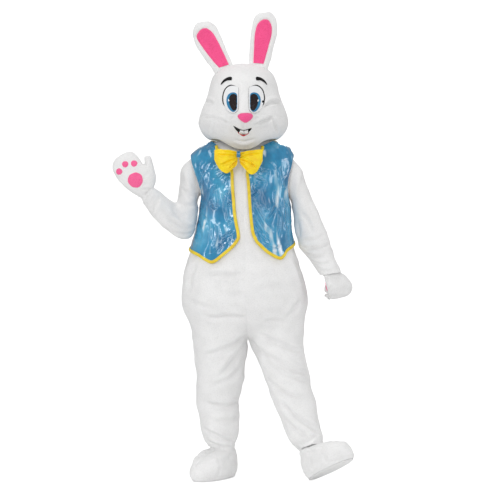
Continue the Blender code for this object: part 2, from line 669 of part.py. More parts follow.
# the front edge from the neck to the hem's corner, then the hem to the side, on the front drawing
VEST_EDGE = {
    -1: ([(217.6, 146.5), (221.5, 154), (227, 162.5), (232.7, 171.1), (233.4, 182), (234.1, 192.5), (235.0, 204), (235.9, 214.8), (237.6, 225), (239.3, 233.5), (239.6, 239)],
         [(239.6, 239), (233.4, 247.4), (224.6, 255), (213.4, 263.3), (204.6, 260), (197.6, 255.4), (190.0, 249.0)]),
    1: ([(261.4, 147), (258, 154), (252, 163), (246.4, 172), (247.2, 182), (247.9, 192.5), (248.6, 204), (249.4, 214.8), (250.4, 224), (251.8, 233.5), (255.6, 242.4)],
        [(255.6, 242.4), (261.6, 248.6), (268.4, 254.4), (279.0, 259.6), (283.8, 256.6), (287.6, 250.6), (291.0, 243.4)]),
}
VEST_ARM = dict(wide=0.30, top=3.6, bottom=8.9)


def on_front(x, y, side):
    """The row and share where the vest's front passes this point of the front drawing."""
    best, found = 1e18, None
    r0, r1, s0, s1 = 0.3, 14.0, 0.0, 1.0
    for _ in range(5):
        rs, ss = np.linspace(r0, r1, 41), np.linspace(s0, s1, 25)
        for r in rs:
            for s in ss:
                p = suit(r, s, side, False) * np.array([1, 1, 1]) + np.array([0, -VEST_OUT, 0])
                k = 4.4 * (6000.0 + p[1]) / 6000.0
                d = ((p[0] - 28.6) / k + 250 - x) ** 2 + (250 - (p[2] + 471) / k - y) ** 2
                if d < best:
                    best, found = d, (float(r), float(s))
        dr, ds = (r1 - r0) / 14, (s1 - s0) / 10
        r0, r1 = max(0.3, found[0] - dr), found[0] + dr
        s0, s1 = max(0.0, found[1] - ds), min(1.0, found[1] + ds)
    return found


def skin_normal(r, s, side, back):
    a = suit(min(r + 0.08, 25), s, side, back) - suit(max(r - 0.08, 0), s, side, back)
    b = suit(r, min(s + 0.02, 1.0), side, back) - suit(r, max(s - 0.02, 0.0), side, back)
    n = np.cross(a, b)
    if s > 0.97:  # on the side seam the front and back share one normal
        n2 = np.cross(
            suit(min(r + 0.08, 25), s, side, not back) - suit(max(r - 0.08, 0), s, side, not back),
            suit(r, 1.0, side, not back) - suit(r, 0.98, side, not back),
        )
        n = unit(n) - unit(n2)
    if s < 0.02:
        n[0] = 0.0
    n = unit(n)
    want = np.array([side * math.sin(s * math.pi / 2), (1 if back else -1) * math.cos(s * math.pi / 2), 0.25 if r < 3 else 0.0])
    return n if float(n @ want) > 0 else -n


def vest_point(r, s, side, back, out=VEST_OUT):
    return suit(r, s, side, back) + skin_normal(r, s, side, back) * (out + (2.0 * (1 - s) if back else 0.0))


UPPER_ROWS = [1.9, 2.8, 3.6, 4.4, 5.3, 6.2, 7.1, 8.0, 8.9]
HEM_ROW = 12.0  # the side seam's lower end


def vest():
    pieces, edges = [], {}
    for side, word in ((-1, "right"), (1, "left")):
        edge, hem = VEST_EDGE[side]
        edge = [on_front(x, y, side) for x, y in edge]
        hem = [on_front(x, y, side) for x, y in hem]
        low = hem[-1][0]
        hem = sorted(hem[:-1], key=lambda e: e[1]) + [(low, 1.0)]
        top = edge[0]
        tip = min(hem, key=lambda e: -e[0])[1]
        shares = [hem[0][1], (hem[0][1] + tip) / 2, tip] + [tip + (1 - tip) * k / 3 for k in (1, 2, 3)]
        hem = [(float(np.interp(s, [e[1] for e in hem], [e[0] for e in hem])), s) for s in shares]
        cols = 5
        er = np.array([e[0] for e in edge])
        es = np.array([e[1] for e in edge])
        grid = []
        # the neck's row runs to the shoulder seam at the same height
        grid.append([(top[0] + (1.0 - top[0]) * (i / cols), top[1] + (1 - top[1]) * i / cols) for i in range(cols + 1)])
        for r in UPPER_ROWS:
            a = float(np.interp(r, er, es))
            b = armhole(r, **VEST_ARM)
            grid.append([(r, a + (b - a) * i / cols) for i in range(cols + 1)])
        start = UPPER_ROWS[-1]
        for t in (0.34, 0.68, 1.0):
            row = []
            for i in range(cols + 1):
                hr, hs = hem[i]
                a = float(np.interp(start, er, es))
                s9 = a + (1.0 - a) * i / cols
                r = start + (hr - start) * t
                s = s9 + (hs - s9) * t
                if i == 0:
                    s = float(np.interp(r, er, es)) if t < 1 else hem[0][1]
                row.append((r, s))
            grid.append(row)
        points = [vest_point(r, s, side, False) for row in grid for r, s in row]
        points = np.array(points)
        quads = facing(points, grid_quads(len(grid), cols + 1), (0, -1, 0))
        pieces.append((f"vest_{word}", points, quads, VINYL, "vinyl"))
        edges[side] = grid
        line = [row[0] for row in grid] + grid[-1][1:]
        edges[word] = [vest_point(r, s, side, False) for r, s in line]
    # the back, with the fronts' shoulder and side rows
    half = 4
    rows = []
    right, left = edges[-1], edges[1]
    count = len(right)
    for i in range(count):
        row = []
        for side, grid in ((-1, right), (1, left)):
            r, s = grid[i][-1]
            part = []
            for k in range(half + 1):
                t = k / half
                mid_r = r if i else 0.95
                if i == 0:
                    mid_r = 0.95 + (r - 0.95) * t
                part.append((mid_r, s * t, side))
            row.append(part)
        rows.append(row[0][::-1] + row[1][1:])
    points = np.array([vest_point(r, s, side, True) for row in rows for r, s, side in row])
    pieces.append(("vest_back", points, facing(points, grid_quads(count, 2 * half + 1), (0, 1, 0)), VINYL, "vinyl"))
    walls(pieces)
    neck = [vest_point(r, s, side, True) for r, s, side in rows[0]]
    hem = [vest_point(r, s, side, True) for r, s, side in rows[-1]]
    binding("binding_right", edges["right"], "vest_right")
    binding("binding_left", edges["left"], "vest_left")
    binding("binding_back_neck", neck, "vest_back")
    binding("binding_back_hem", hem, "vest_back")


def binding(name, line, of, wide=11.0, thick=1.0, gap=1.7):
    """A folded strip over an edge: a leg on the outside, a leg on the inside, joined past the edge. It ends at a seam in the plane y = 0."""
    line = [np.array(p, float) for p in line]
    on = tree(of)
    points, tris, _ = NODES[of]
    count = len(points) // 2
    normals = corner_normals(points, [t for t in tris if max(t) < count])[:count]
    skin, centre = points[:count], points[:count].mean(axis=0)
    ring, last = [], len(line) - 1
    for i, p in enumerate(line):
        before = unit(p - line[i - 1]) if i else None
        after = unit(line[i + 1] - p) if i < last else None
        mitre = 1.0
        if before is None:
            mean = np.array([0.0, math.copysign(1.0, after[1]), 0.0])
            p = p + mean * 0.3
        elif after is None:
            mean = np.array([0.0, math.copysign(1.0, before[1]), 0.0])
            p = p - mean * 0.3
        else:
            mean = unit(before + after)
            mitre = 1.0 / max(0.6, math.sqrt(max(0.0, (1 + float(before @ after)) / 2)))
        n = unit(normals[np.argmin(np.linalg.norm(skin - p, axis=1))])
        n = unit(n - mean * float(n @ mean))
        inward = np.cross(n, mean)
        inward = unit(inward if float(inward @ (centre - p)) > 0 else -inward)
        top, under = gap + thick, VINYL + gap + thick
        deep = p + inward * wide * mitre
        hit, hn, _, _ = on.find_nearest(Vector(deep + n * 1.5))
        deep, hn = np.array(hit), np.array(hn)
        if float(hn @ n) < 0.5:
            deep, hn = p + inward * wide * mitre, n
        if i in (0, last):
            deep[1], hn = p[1], unit(hn * np.array([1.0, 0.0, 1.0]))
        past = p - inward * (gap + thick) * mitre, p - inward * gap * mitre
        ring += [
            deep + hn * top, past[0] + n * top, past[0] - n * under, deep - hn * under,
            deep - hn * (under - thick), past[1] - n * (under - thick), past[1] + n * gap, deep + hn * gap,
        ]
    n = last + 1
    faces = grid_quads(n, 8, around=True)
    for b, turn in ((0, -1), ((n - 1) * 8, 1)):
        for q in ([0, 1, 6, 7], [1, 2, 5, 6], [2, 3, 4, 5]):
            faces.append([b + k for k in q][::turn])
    solid(name, ring, faces, "yellow")


# ---------------------------------------------------------------- the bow
# each wing at the knot, half way and at its fold: upper and lower end on the front drawing
WINGS = {
    "right": [((236.6, 151.6), (236.4, 165.4)), ((231.6, 150.6), (231.8, 169.6)), ((225, 149.8), (226.4, 173.2)), ((218.6, 149.2), (219.2, 168.6)), ((214.3, 150.2), (214.2, 159.6))],
    "left": [((240.8, 152.2), (241.2, 164.6)), ((245.4, 151.4), (246.4, 170.6)), ((251.4, 150.6), (251.6, 174.4)), ((257.6, 149.7), (257.4, 170.8)), ((263.2, 149.4), (262.6, 160.6))],
}
BOW_AT = -172.0


def bow():
    body = tree("suit_front_right", "suit_front_left", "vest_right", "vest_left", "binding_right", "binding_left")
    for word, ends in WINGS.items():
        rows = len(ends)
        up = 4
        grid = []
        bulge = [2.5, 12, 19, 16, 6]
        columns = [(i, -1) for i in range(rows)] + [(i, 1) for i in range(rows - 2, -1, -1)]
        for i, layer in columns:
            (xa, ya), (xb, yb) = ends[i]
            for k in range(up + 1):
                t = k / up
                inward = (1.2 if word == "right" else -1.7) * math.sin(math.pi * t) if i == 0 else 0.0
                p = front(xa + (xb - xa) * t + inward, ya + (yb - ya) * t, BOW_AT)
                swell = bulge[i] * math.sin(math.pi * (0.12 + 0.76 * t))
                if i == rows - 1:
                    swell = 0.0
                y = BOW_AT - swell if layer < 0 else BOW_AT + 3 + 0.35 * swell
                grid.append(np.array([p[0], y, p[2]]))
        points = np.array(grid)
        # the wing lies on the chest: it follows it from top to bottom
        for j, p in enumerate(points):
            hit, _, _, _ = body.ray_cast(Vector((p[0], -600, p[2])), Vector((0, 1, 0)))
            points[j][1] += 0.0
            if hit is not None:
                floor = hit[1] - 9.0
                points[j][1] += min(0.0, floor - BOW_AT - 10)
        faces = grid_quads(len(columns), up + 1)
        mid = points.mean(axis=0)
        tris = triangles(points, faces)
        out = sum(float(np.cross(points[t[1]] - points[t[0]], points[t[2]] - points[t[0]]) @ (points[list(t)].mean(axis=0) - mid)) for t in tris)
        walls([(f"bow_{word}", points, faces if out > 0 else [f[::-1] for f in faces], 1.4, "yellow")])
    # the knot: a short band between the wings
    ring = []
    for x in (236.2, 240.8):
        for k in range(8):
            a = 2 * math.pi * k / 8
            c = front(x, 154.6, BOW_AT)
            ring.append(c + np.array([0.0, -8.0 * math.cos(a) - 14.0, 13.0 * math.sin(a)]))
    points = np.array(ring)
    walls([("bow_knot", points, grid_quads(2, 8, around=True), 1.2, "vinyl")])


# ---------------------------------------------------------------- all of it
def main():
    for obj in list(bpy.data.objects):
        bpy.data.objects.remove(obj)
    jumpsuit()
    mitten("right", mitten_right, 28.0)
    mitten("left", mitten_left, 25.0)
    shoe("right", np.array([-92.0, -22.0, FLOOR]), TOE[-1], 0.0)
    shoe("left", np.array([334.0, -181.0, FLOOR + 31.8]), TOE[1], math.radians(27))
    mask()
    ears()
    face()
    vest()
    bow()
    materials = {}
    for name, colour in COLOURS.items():
        m = bpy.data.materials.new(name)
        m.use_nodes = True
        shader = m.node_tree.nodes["Principled BSDF"]
        shader.inputs["Base Color"].default_value = (*colour, 1.0)
        shader.inputs["Roughness"].default_value = 0.2 if name == "vinyl" else 0.8
        materials[name] = m
    for name, (points, tris, colour) in NODES.items():
        mesh = bpy.data.meshes.new(name)
        mesh.from_pydata([tuple(p / 1000.0) for p in points], [], [tuple(int(i) for i in t) for t in tris])
        mesh.update()
        mesh.materials.append(materials[colour])
        bpy.context.scene.collection.objects.link(bpy.data.objects.new(name, mesh))


main()
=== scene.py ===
"""Rabbit costume, worn shape: the looks. Lengths are millimetres until a mesh is made, in metres.

The cloth follows the same tables as the frame's nodes, read as smooth curves, with folds laid on it.
front(x, y) is a point of a front drawing, 4.4 mm a unit, seen from 6 m.
"""

import math

import bpy
import numpy as np
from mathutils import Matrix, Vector
from mathutils.bvhtree import BVHTree
from mathutils.kdtree import KDTree


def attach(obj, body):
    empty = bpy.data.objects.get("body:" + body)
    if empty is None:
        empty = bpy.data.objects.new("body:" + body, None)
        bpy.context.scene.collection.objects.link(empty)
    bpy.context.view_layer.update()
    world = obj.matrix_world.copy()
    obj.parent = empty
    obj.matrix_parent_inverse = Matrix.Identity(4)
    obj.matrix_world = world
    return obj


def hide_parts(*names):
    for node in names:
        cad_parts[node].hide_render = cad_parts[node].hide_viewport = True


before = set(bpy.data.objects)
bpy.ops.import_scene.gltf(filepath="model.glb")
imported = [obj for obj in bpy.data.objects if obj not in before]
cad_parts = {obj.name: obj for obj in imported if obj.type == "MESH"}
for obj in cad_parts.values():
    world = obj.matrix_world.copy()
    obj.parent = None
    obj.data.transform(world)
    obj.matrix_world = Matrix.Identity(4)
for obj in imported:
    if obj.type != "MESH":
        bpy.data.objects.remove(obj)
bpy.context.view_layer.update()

FLOOR = -1462.0
CLOTH = 2.0


# ---------------------------------------------------------------- points
def front(x, y, depth=0.0):
    x, y, depth = np.broadcast_arrays(np.asarray(x, float), np.asarray(y, float), np.asarray(depth, float))
    s = 4.4 * (6000.0 + depth) / 6000.0
    return np.stack([28.6 + (x - 250.0) * s, depth, -471.0 + (250.0 - y) * s], -1)


def seen(p):
    k = 4.4 * (6000.0 + p[..., 1]) / 6000.0
    return np.stack([(p[..., 0] - 28.6) / k + 250.0, 250.0 - (p[..., 2] + 471.0) / k], -1)


def unit(v):
    v = np.asarray(v, float)
    return v / np.maximum(np.linalg.norm(v, axis=-1, keepdims=True), 1e-12)


def ease(x, a, b):
    t = np.clip((np.asarray(x, float) - a) / (b - a), 0.0, 1.0)
    return t * t * (3 - 2 * t)


def curve(table, r, before=None, closed=False):
    """The table's rows as a smooth curve, at any number of places r, counted in rows."""
    t = np.asarray(table, float)
    r = np.asarray(r, float)
    if closed:
        n = len(t)
        i = np.floor(r).astype(int)
        f = (r - i)[..., None] if t.ndim == 2 else r - i
        a, b, c, d = t[(i - 1) % n], t[i % n], t[(i + 1) % n], t[(i + 2) % n]
    else:
        r = np.clip(r, 0, len(t) - 1)
        i = np.minimum(r.astype(int), len(t) - 2)
        f = (r - i).reshape(r.shape + (1,) * (t.ndim - 1))
        p = np.concatenate([[2 * t[0] - t[1] if before is None else np.asarray(before, float)], t, [2 * t[-1] - t[-2]]])
        a, b, c, d = p[i], p[i + 1], p[i + 2], p[i + 3]
    return 0.5 * (2 * b + (c - a) * f + (2 * a - 5 * b + 4 * c - d) * f**2 + (3 * b - 3 * c + d - a) * f**3)


def spread(points, step):
    """Places along a line of points, counted in rows, about this far apart. points may be (rows, k, 3)."""
    p = np.asarray(points, float)
    d = np.linalg.norm(np.diff(p, axis=0), axis=-1)
    if d.ndim > 1:
        d = d.max(axis=1)
    out = [0.0]
    for i, length in enumerate(d):
        n = max(1, int(math.ceil(length / step)))
        out += [i + (k + 1) / n for k in range(n)]
    return np.array(out)


def quads(rows, cols, around=False):
    r, c = np.meshgrid(np.arange(rows - 1), np.arange(cols if around else cols - 1), indexing="ij")
    d = (c + 1) % cols
    return np.stack([r * cols + c, r * cols + d, (r + 1) * cols + d, (r + 1) * cols + c], -1).reshape(-1, 4)


_lattice = {}


def noise(p, scale, seed):
    """Smooth noise from -1 to 1, with lumps about this many millimetres across."""
    if seed not in _lattice:
        _lattice[seed] = np.random.RandomState(seed).uniform(-1, 1, (32, 32, 32))
    g = _lattice[seed]
    q = np.asarray(p, float) / scale + 1000.0
    i = np.floor(q).astype(int)
    f = q - i
    f = f * f * f * (f * (f * 6 - 15) + 10)
    total = 0.0
    for dx in (0, 1):
        for dy in (0, 1):
            for dz in (0, 1):
                w = (f[..., 0] if dx else 1 - f[..., 0]) * (f[..., 1] if dy else 1 - f[..., 1]) * (f[..., 2] if dz else 1 - f[..., 2])
                total = total + w * g[(i[..., 0] + dx) % 32, (i[..., 1] + dy) % 32, (i[..., 2] + dz) % 32]
    return total * 1.35


# ---------------------------------------------------------------- cloth
def face_normals(points, faces):
    return np.cross(points[faces[:, 2]] - points[faces[:, 0]], points[faces[:, 3]] - points[faces[:, 1]])


def point_normals(points, faces):
    """Faces are quads; a triangle is a quad with its last corner twice."""
    fn = face_normals(points, faces)
    total = np.zeros_like(points)
    for k in range(4):
        np.add.at(total, faces[:, k], fn)
    return unit(total)


def rim_of(faces):
    """The open edges, each as its face runs it."""
    edges = np.concatenate([faces[:, [k, (k + 1) % 4]] for k in range(4)])
    edges = edges[edges[:, 0] != edges[:, 1]]
    n = int(faces.max()) + 1
    one, other = edges[:, 0] * n + edges[:, 1], edges[:, 1] * n + edges[:, 0]
    return edges[~np.isin(one, other)]


def make(name, points, faces, material, sharp=None, smooth=True):
    """A mesh object from millimetres. faces: quads, a triangle having its last corner twice."""
    faces = np.asarray(faces)
    used = np.unique(faces)
    turn = np.full(int(used.max()) + 1, -1)
    turn[used] = np.arange(len(used))
    points, faces = points[used], turn[faces]
    tri = faces[:, 2] == faces[:, 3]
    lists = [tuple(f[:3]) if t else tuple(f) for f, t in zip(faces.tolist(), tri.tolist())]
    mesh = bpy.data.meshes.new(name)
    mesh.from_pydata((points / 1000.0).tolist(), [], lists)
    mesh.polygons.foreach_set("use_smooth", [smooth] * len(lists))
    if sharp is not None and len(sharp):
        n = len(points)
        ev = np.zeros(len(mesh.edges) * 2, np.int32)
        mesh.edges.foreach_get("vertices", ev)
        ev = np.sort(ev.reshape(-1, 2).astype(np.int64), axis=1)
        sh = np.sort(turn[np.asarray(sharp)], axis=1)
        mesh.edges.foreach_set("use_edge_sharp", np.isin(ev[:, 0] * n + ev[:, 1], sh[:, 0] * n + sh[:, 1]))
    mesh.update()
    mesh.materials.append(material)
    obj = bpy.data.objects.new("sewn_" + name, mesh)
    bpy.context.scene.collection.objects.link(obj)
    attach(obj, "root")
    return obj


def shell(name, points, normals, faces, thick, material, round_edge=False):
    """A sheet of cloth: the outer skin, the inner one and the edge between them."""
    n = len(points)
    rim = rim_of(faces)
    inner = points - normals * thick
    if round_edge and len(rim):
        # the edge turns in a half round
        mid = points[rim].mean(axis=1)
        out = np.zeros_like(points)
        fn = point_normals(points, faces)
        d = points[rim[:, 1]] - points[rim[:, 0]]
        side = unit(np.cross(d, fn[rim[:, 0]]))
        np.add.at(out, rim[:, 0], side)
        np.add.at(out, rim[:, 1], side)
        ids = np.unique(rim)
        where = {int(i): k for k, i in enumerate(ids)}
        bulge = points[ids] - normals[ids] * thick * 0.5 + unit(out[ids]) * thick * 0.5
        all_points = np.vstack([points, inner, bulge])
        a = np.array([where[int(i)] for i in rim[:, 0]]) + 2 * n
        b = np.array([where[int(i)] for i in rim[:, 1]]) + 2 * n
        band = np.concatenate([
            np.stack([rim[:, 1], rim[:, 0], a, b], -1),
            np.stack([b, a, rim[:, 0] + n, rim[:, 1] + n], -1),
        ])
        sharp = None
        del mid
    else:
        all_points = np.vstack([points, inner])
        band = np.stack([rim[:, 1], rim[:, 0], rim[:, 0] + n, rim[:, 1] + n], -1)
        sharp = np.vstack([rim, rim + n]) if len(rim) else None
    back = faces[:, ::-1] + n
    tri = faces[:, 2] == faces[:, 3]
    back[tri] = np.stack([faces[tri, 2], faces[tri, 1], faces[tri, 0], faces[tri, 0]], -1) + n
    return make(name, all_points, np.concatenate([faces, back, band]), material, sharp)


class Cloth:
    """Panels that meet at seams. Points that coincide become one, so folds and normals run across."""

    def __init__(self):
        self.names, self.points, self.faces, self.count = [], [], [], 0

    def add(self, name, points, faces, flip=False):
        points = np.asarray(points, float).reshape(-1, 3)
        faces = np.asarray(faces)
        self.names.append(name)
        self.points.append(points)
        self.faces.append((faces[:, ::-1] if flip else faces) + self.count)
        self.count += len(points)

    def join(self, near=0.05):
        p = np.concatenate(self.points)
        k = np.round(p / near + 0.37).astype(np.int64)
        _, first, index = np.unique(k, axis=0, return_index=True, return_inverse=True)
        index = index.reshape(-1)
        self.p = p[first].copy()
        self.panels = {}
        for name, f in zip(self.names, self.faces):
            f = index[f]
            keep = []
            # corners that fell together: a quad turns into a triangle
            for a in range(4):
                same = f[:, a] == f[:, (a + 1) % 4]
                if same.any():
                    rolled = np.roll(f[same], -(a + 2), axis=1) if a != 2 else f[same]
                    f[same] = rolled
            bad = f[:, 2] == f[:, 3]
            ok = ~bad | ((f[:, 0] != f[:, 1]) & (f[:, 1] != f[:, 2]) & (f[:, 0] != f[:, 2]))
            keep = f[ok]
            self.panels[name] = np.concatenate([self.panels[name], keep]) if name in self.panels else keep
        self.all = np.concatenate([self.panels[n] for n in dict.fromkeys(self.names)])
        self.n = point_normals(self.p, self.all)
        return self

    def seams(self):
        """The points on edges that two panels share."""
        hits = np.zeros(len(self.p), int)
        for f in self.panels.values():
            hits[np.unique(f)] += 1
        return hits > 1

    def near(self, mask, reach):
        """How far each point is from the nearest point of the mask, up to reach."""
        tree = KDTree(int(mask.sum()))
        for i, q in enumerate(self.p[mask]):
            tree.insert(q, i)
        tree.balance()
        lo, hi = self.p[mask].min(axis=0) - reach, self.p[mask].max(axis=0) + reach
        d = np.full(len(self.p), reach)
        for i in np.where(((self.p > lo) & (self.p < hi)).all(axis=1))[0]:
            d[i] = min(reach, tree.find(self.p[i])[2])
        return d

    def move(self, by):
        self.p = self.p + self.n * by[:, None]

    def smooth(self, weight, rounds):
        """Relax the points by the weights given, with the seams free to move too."""
        pairs = np.concatenate([self.all[:, [a, (a + 1) % 4]] for a in range(4)])
        pairs = np.concatenate([pairs, pairs[:, ::-1]])
        pairs = pairs[weight[pairs[:, 0]] > 0.01]
        pairs = pairs[pairs[:, 0] != pairs[:, 1]]
        count = np.maximum(np.bincount(pairs[:, 0], minlength=len(self.p)), 1)[:, None]
        for _ in range(rounds):
            total = np.zeros_like(self.p)
            np.add.at(total, pairs[:, 0], self.p[pairs[:, 1]])
            self.p += (total / count - self.p) * weight[:, None] * (count > 1)

    def refresh(self):
        self.n = point_normals(self.p, self.all)

    def tree(self, *names):
        faces = np.concatenate([self.panels[n] for n in names]) if names else self.all
        return BVHTree.FromPolygons([Vector(q) for q in self.p], [tuple(dict.fromkeys(f)) for f in faces.tolist()])

    def build(self, name, thick, material, piece=None, **more):
        f = self.panels[name]
        used = np.unique(f)
        turn = np.full(len(self.p), -1)
        turn[used] = np.arange(len(used))
        return shell(piece or name, self.p[used], self.n[used], turn[f], thick, material, **more)


def creases(p, n, lines, facing):
    """How far each point moves for these folds.

    A line is (points on the front drawing, depth, half width, lift), in millimetres but for the points. The cloth dips
    along it and rises beside it, more on the side that lift gives: +1 is the left of the line's run, -1 the right.
    """
    q = seen(p)
    total = np.zeros(len(p))
    for line, depth, width, lift in lines:
        line = curve(np.asarray(line, float), spread(np.pad(np.asarray(line, float), ((0, 0), (0, 1))), 2.0)) if len(line) > 2 else np.asarray(line, float)
        reach = 5.0 * width / 4.4
        near = np.where(((q > line.min(axis=0) - reach) & (q < line.max(axis=0) + reach)).all(axis=1) & (facing > 0))[0]
        if not len(near):
            continue
        x = q[near]
        best = np.full(len(near), 1e9)
        side = np.zeros(len(near))
        share = np.zeros(len(near))
        lengths = np.linalg.norm(np.diff(line, axis=0), axis=1)
        whole, run = lengths.sum(), 0.0
        for a, b, length in zip(line[:-1], line[1:], lengths):
            d = (b - a) / max(length, 1e-9)
            t = np.clip((x - a) @ d, 0, length)
            off = x - a - t[:, None] * d
            dist = np.linalg.norm(off, axis=1)
            closer = dist < best
            best[closer] = dist[closer]
            side[closer] = np.sign((x - a) @ np.array([d[1], -d[0]]))[closer]
            share[closer] = ((run + t) / whole)[closer]
            run += length
        best = best * 4.4
        signed = best * side * lift
        w = width * (0.75 + 0.5 * np.sin(math.pi * np.clip(share, 0, 1)))
        fade = ease(share, 0.0, 0.22) * (1 - ease(share, 0.78, 1.0)) * 0.85 + 0.15 * (best < w * 1.5)
        fade = fade * np.exp(-(np.maximum(best - 3.5 * w, 0) / w) ** 2)
        trough = -np.exp(-((best / w) ** 2))
        high = 0.75 * np.exp(-(((signed - 2.0 * w) / (1.15 * w)) ** 2)) + 0.3 * np.exp(-(((signed + 1.9 * w) / w) ** 2))
        total[near] += depth * fade * (trough + high) * facing[near]
    return total


# ---------------------------------------------------------------- materials
def material(name, colour, rough=0.9, sheen=0.0, sheen_rough=0.5, coat=0.0, coat_rough=0.05, specular=0.5, sheen_tint=None, metallic=0.0):
    m = bpy.data.materials.new(name)
    m.use_nodes = True
    nodes, links = m.node_tree.nodes, m.node_tree.links
    shader = nodes["Principled BSDF"]
    shader.inputs["Base Color"].default_value = (*colour, 1.0)
    shader.inputs["Roughness"].default_value = rough
    shader.inputs["Sheen Weight"].default_value = sheen
    shader.inputs["Sheen Roughness"].default_value = sheen_rough
    if sheen_tint:
        shader.inputs["Sheen Tint"].default_value = (*sheen_tint, 1.0)
    shader.inputs["Coat Weight"].default_value = coat
    shader.inputs["Coat Roughness"].default_value = coat_rough
    shader.inputs["Specular IOR Level"].default_value = specular
    shader.inputs["Metallic"].default_value = metallic
    coord = nodes.new("ShaderNodeTexCoord")

    def tex(scale, detail=2.0, stretch=None, kind="ShaderNodeTexNoise"):
        t = nodes.new(kind)
        t.inputs["Scale"].default_value = scale
        if "Detail" in t.inputs:
            t.inputs["Detail"].default_value = detail
        if stretch:
            mp = nodes.new("ShaderNodeMapping")
            mp.inputs["Scale"].default_value = stretch
            links.new(coord.outputs["Object"], mp.inputs["Vector"])
            links.new(mp.outputs["Vector"], t.inputs["Vector"])
        else:
            links.new(coord.outputs["Object"], t.inputs["Vector"])
        return t.outputs["Fac"] if "Fac" in t.outputs else t.outputs[0]

    def ramp(value, stops):
        r = nodes.new("ShaderNodeValToRGB")
        e = r.color_ramp.elements
        while len(e) < len(stops):
            e.new(0.5)
        for k, (at, c) in enumerate(stops):
            e[k].position = at
            e[k].color = (*c, 1.0)
        links.new(value, r.inputs["Fac"])
        return r.outputs["Color"]

    def mix(a, b, fac, mode="MULTIPLY"):
        x = nodes.new("ShaderNodeMix")
        x.data_type = "RGBA"
        x.blend_type = mode
        x.inputs[0].default_value = fac
        links.new(a, x.inputs[6])
        links.new(b, x.inputs[7])
        return x.outputs[2]

    def math_(op, a, b):
        x = nodes.new("ShaderNodeMath")
        x.operation = op
        for k, v in enumerate((a, b)):
            if isinstance(v, (int, float)):
                x.inputs[k].default_value = v
            else:
                links.new(v, x.inputs[k])
        return x.outputs[0]

    def bump(value, strength, distance, before=None):
        b = nodes.new("ShaderNodeBump")
        b.inputs["Strength"].default_value = strength
        b.inputs["Distance"].default_value = distance
        links.new(value, b.inputs["Height"])
        if before is not None:
            links.new(before, b.inputs["Normal"])
        return b.outputs["Normal"]

    def to(output, socket):
        links.new(output, shader.inputs[socket])

    return m, dict(tex=tex, ramp=ramp, mix=mix, math=math_, bump=bump, to=to, nodes=nodes, links=links, coord=coord)


def grey(v):
    return (v, v, v)


def plush(name, colour, shade, deep=1.0, sheen=0.35):
    """Short pile: soft clumps a few millimetres across, brushed patches, and fine hairs."""
    m, k = material(name, colour, rough=0.95, sheen=sheen, sheen_rough=0.55, specular=0.12)
    clumps = k["tex"](230.0, 3.0)
    patches = k["tex"](16.0, 2.0)
    hairs = k["tex"](620.0, 2.0, (1.0, 1.0, 0.45))
    c = k["ramp"](clumps, [(0.22, shade), (0.50, colour), (0.75, tuple(min(1.0, v * 1.02) for v in colour))])
    c = k["mix"](c, k["ramp"](patches, [(0.35, grey(0.955)), (0.62, grey(1.0))]), 1.0)
    c = k["mix"](c, k["ramp"](hairs, [(0.30, grey(0.93)), (0.60, grey(1.0))]), 0.8)
    k["to"](c, "Base Color")
    n = k["bump"](hairs, 0.35 * deep, 0.0006)
    n = k["bump"](clumps, 0.30 * deep, 0.0009, n)
    n = k["bump"](patches, 0.25 * deep, 0.002, n)
    k["to"](n, "Normal")
    k["to"](k["ramp"](clumps, [(0.3, grey(1.0)), (0.7, grey(0.86))]), "Roughness")
    return m


def vinyl_cloth(name):
    """Glossy thin film on cloth, with pressed-in fine creases; its colour holds painted sheen and painted reflection
    streaks.
    """
    m, k = material(name, (0.020, 0.215, 0.47), rough=0.17, coat=1.0, coat_rough=0.04, specular=0.7)
    broad = k["tex"](9.0, 3.0)
    fine = k["tex"](60.0, 4.0, (1.0, 1.0, 0.6))
    grain = k["tex"](900.0, 1.0)
    # broad patches that vary the blue at random, the palest of them painted sheen
    c = k["ramp"](broad, [(0.30, (0.005, 0.150, 0.33)), (0.50, (0.014, 0.265, 0.50)), (0.66, (0.05, 0.385, 0.62)), (0.80, (0.26, 0.56, 0.73))])
    # long pressed streaks in the film's relief, with pale painted reflections along them in the colour, where the film
    # would catch the light
    pressed_streak_and_painted_glare = k["tex"](25.0, 1.2, (1.0, 1.0, 0.24))
    c = k["mix"](c, k["ramp"](fine, [(0.3, grey(0.86)), (0.6, grey(1.0))]), 0.8)
    # painted reflection: pale streaks screened into the blue along the pressed streaks
    c = k["mix"](c, k["ramp"](pressed_streak_and_painted_glare, [(0.61, grey(0.0)), (0.66, (0.20, 0.28, 0.32)), (0.72, (0.62, 0.66, 0.68))]), 1.0, "SCREEN")
    k["to"](c, "Base Color")
    n = k["bump"](grain, 0.05, 0.0002)
    n = k["bump"](pressed_streak_and_painted_glare, 0.30, 0.0030, n)
    n = k["bump"](fine, 0.22, 0.0012, n)
    k["to"](k["bump"](broad, 0.22, 0.006, n), "Normal")
    k["to"](k["ramp"](fine, [(0.25, grey(0.12)), (0.75, grey(0.27))]), "Roughness")
    return m


def satin_cloth(name, colour, shade):
    m, k = material(name, colour, rough=0.42, sheen=0.25, sheen_rough=0.35, specular=0.45, sheen_tint=(1.0, 0.95, 0.6))
    warp = k["tex"](1500.0, 1.0, (1.0, 1.0, 0.18))
    weft = k["tex"](1500.0, 1.0, (0.18, 0.18, 1.0))
    broad = k["tex"](38.0, 2.0)
    c = k["ramp"](broad, [(0.30, shade), (0.62, colour)])
    c = k["mix"](c, k["ramp"](warp, [(0.3, grey(0.93)), (0.6, grey(1.0))]), 0.7)
    k["to"](c, "Base Color")
    n = k["bump"](warp, 0.14, 0.0003)
    n = k["bump"](weft, 0.14, 0.0003, n)
    k["to"](k["bump"](broad, 0.12, 0.002, n), "Normal")
    k["to"](k["ramp"](weft, [(0.3, grey(0.36)), (0.7, grey(0.52))]), "Roughness")
    return m


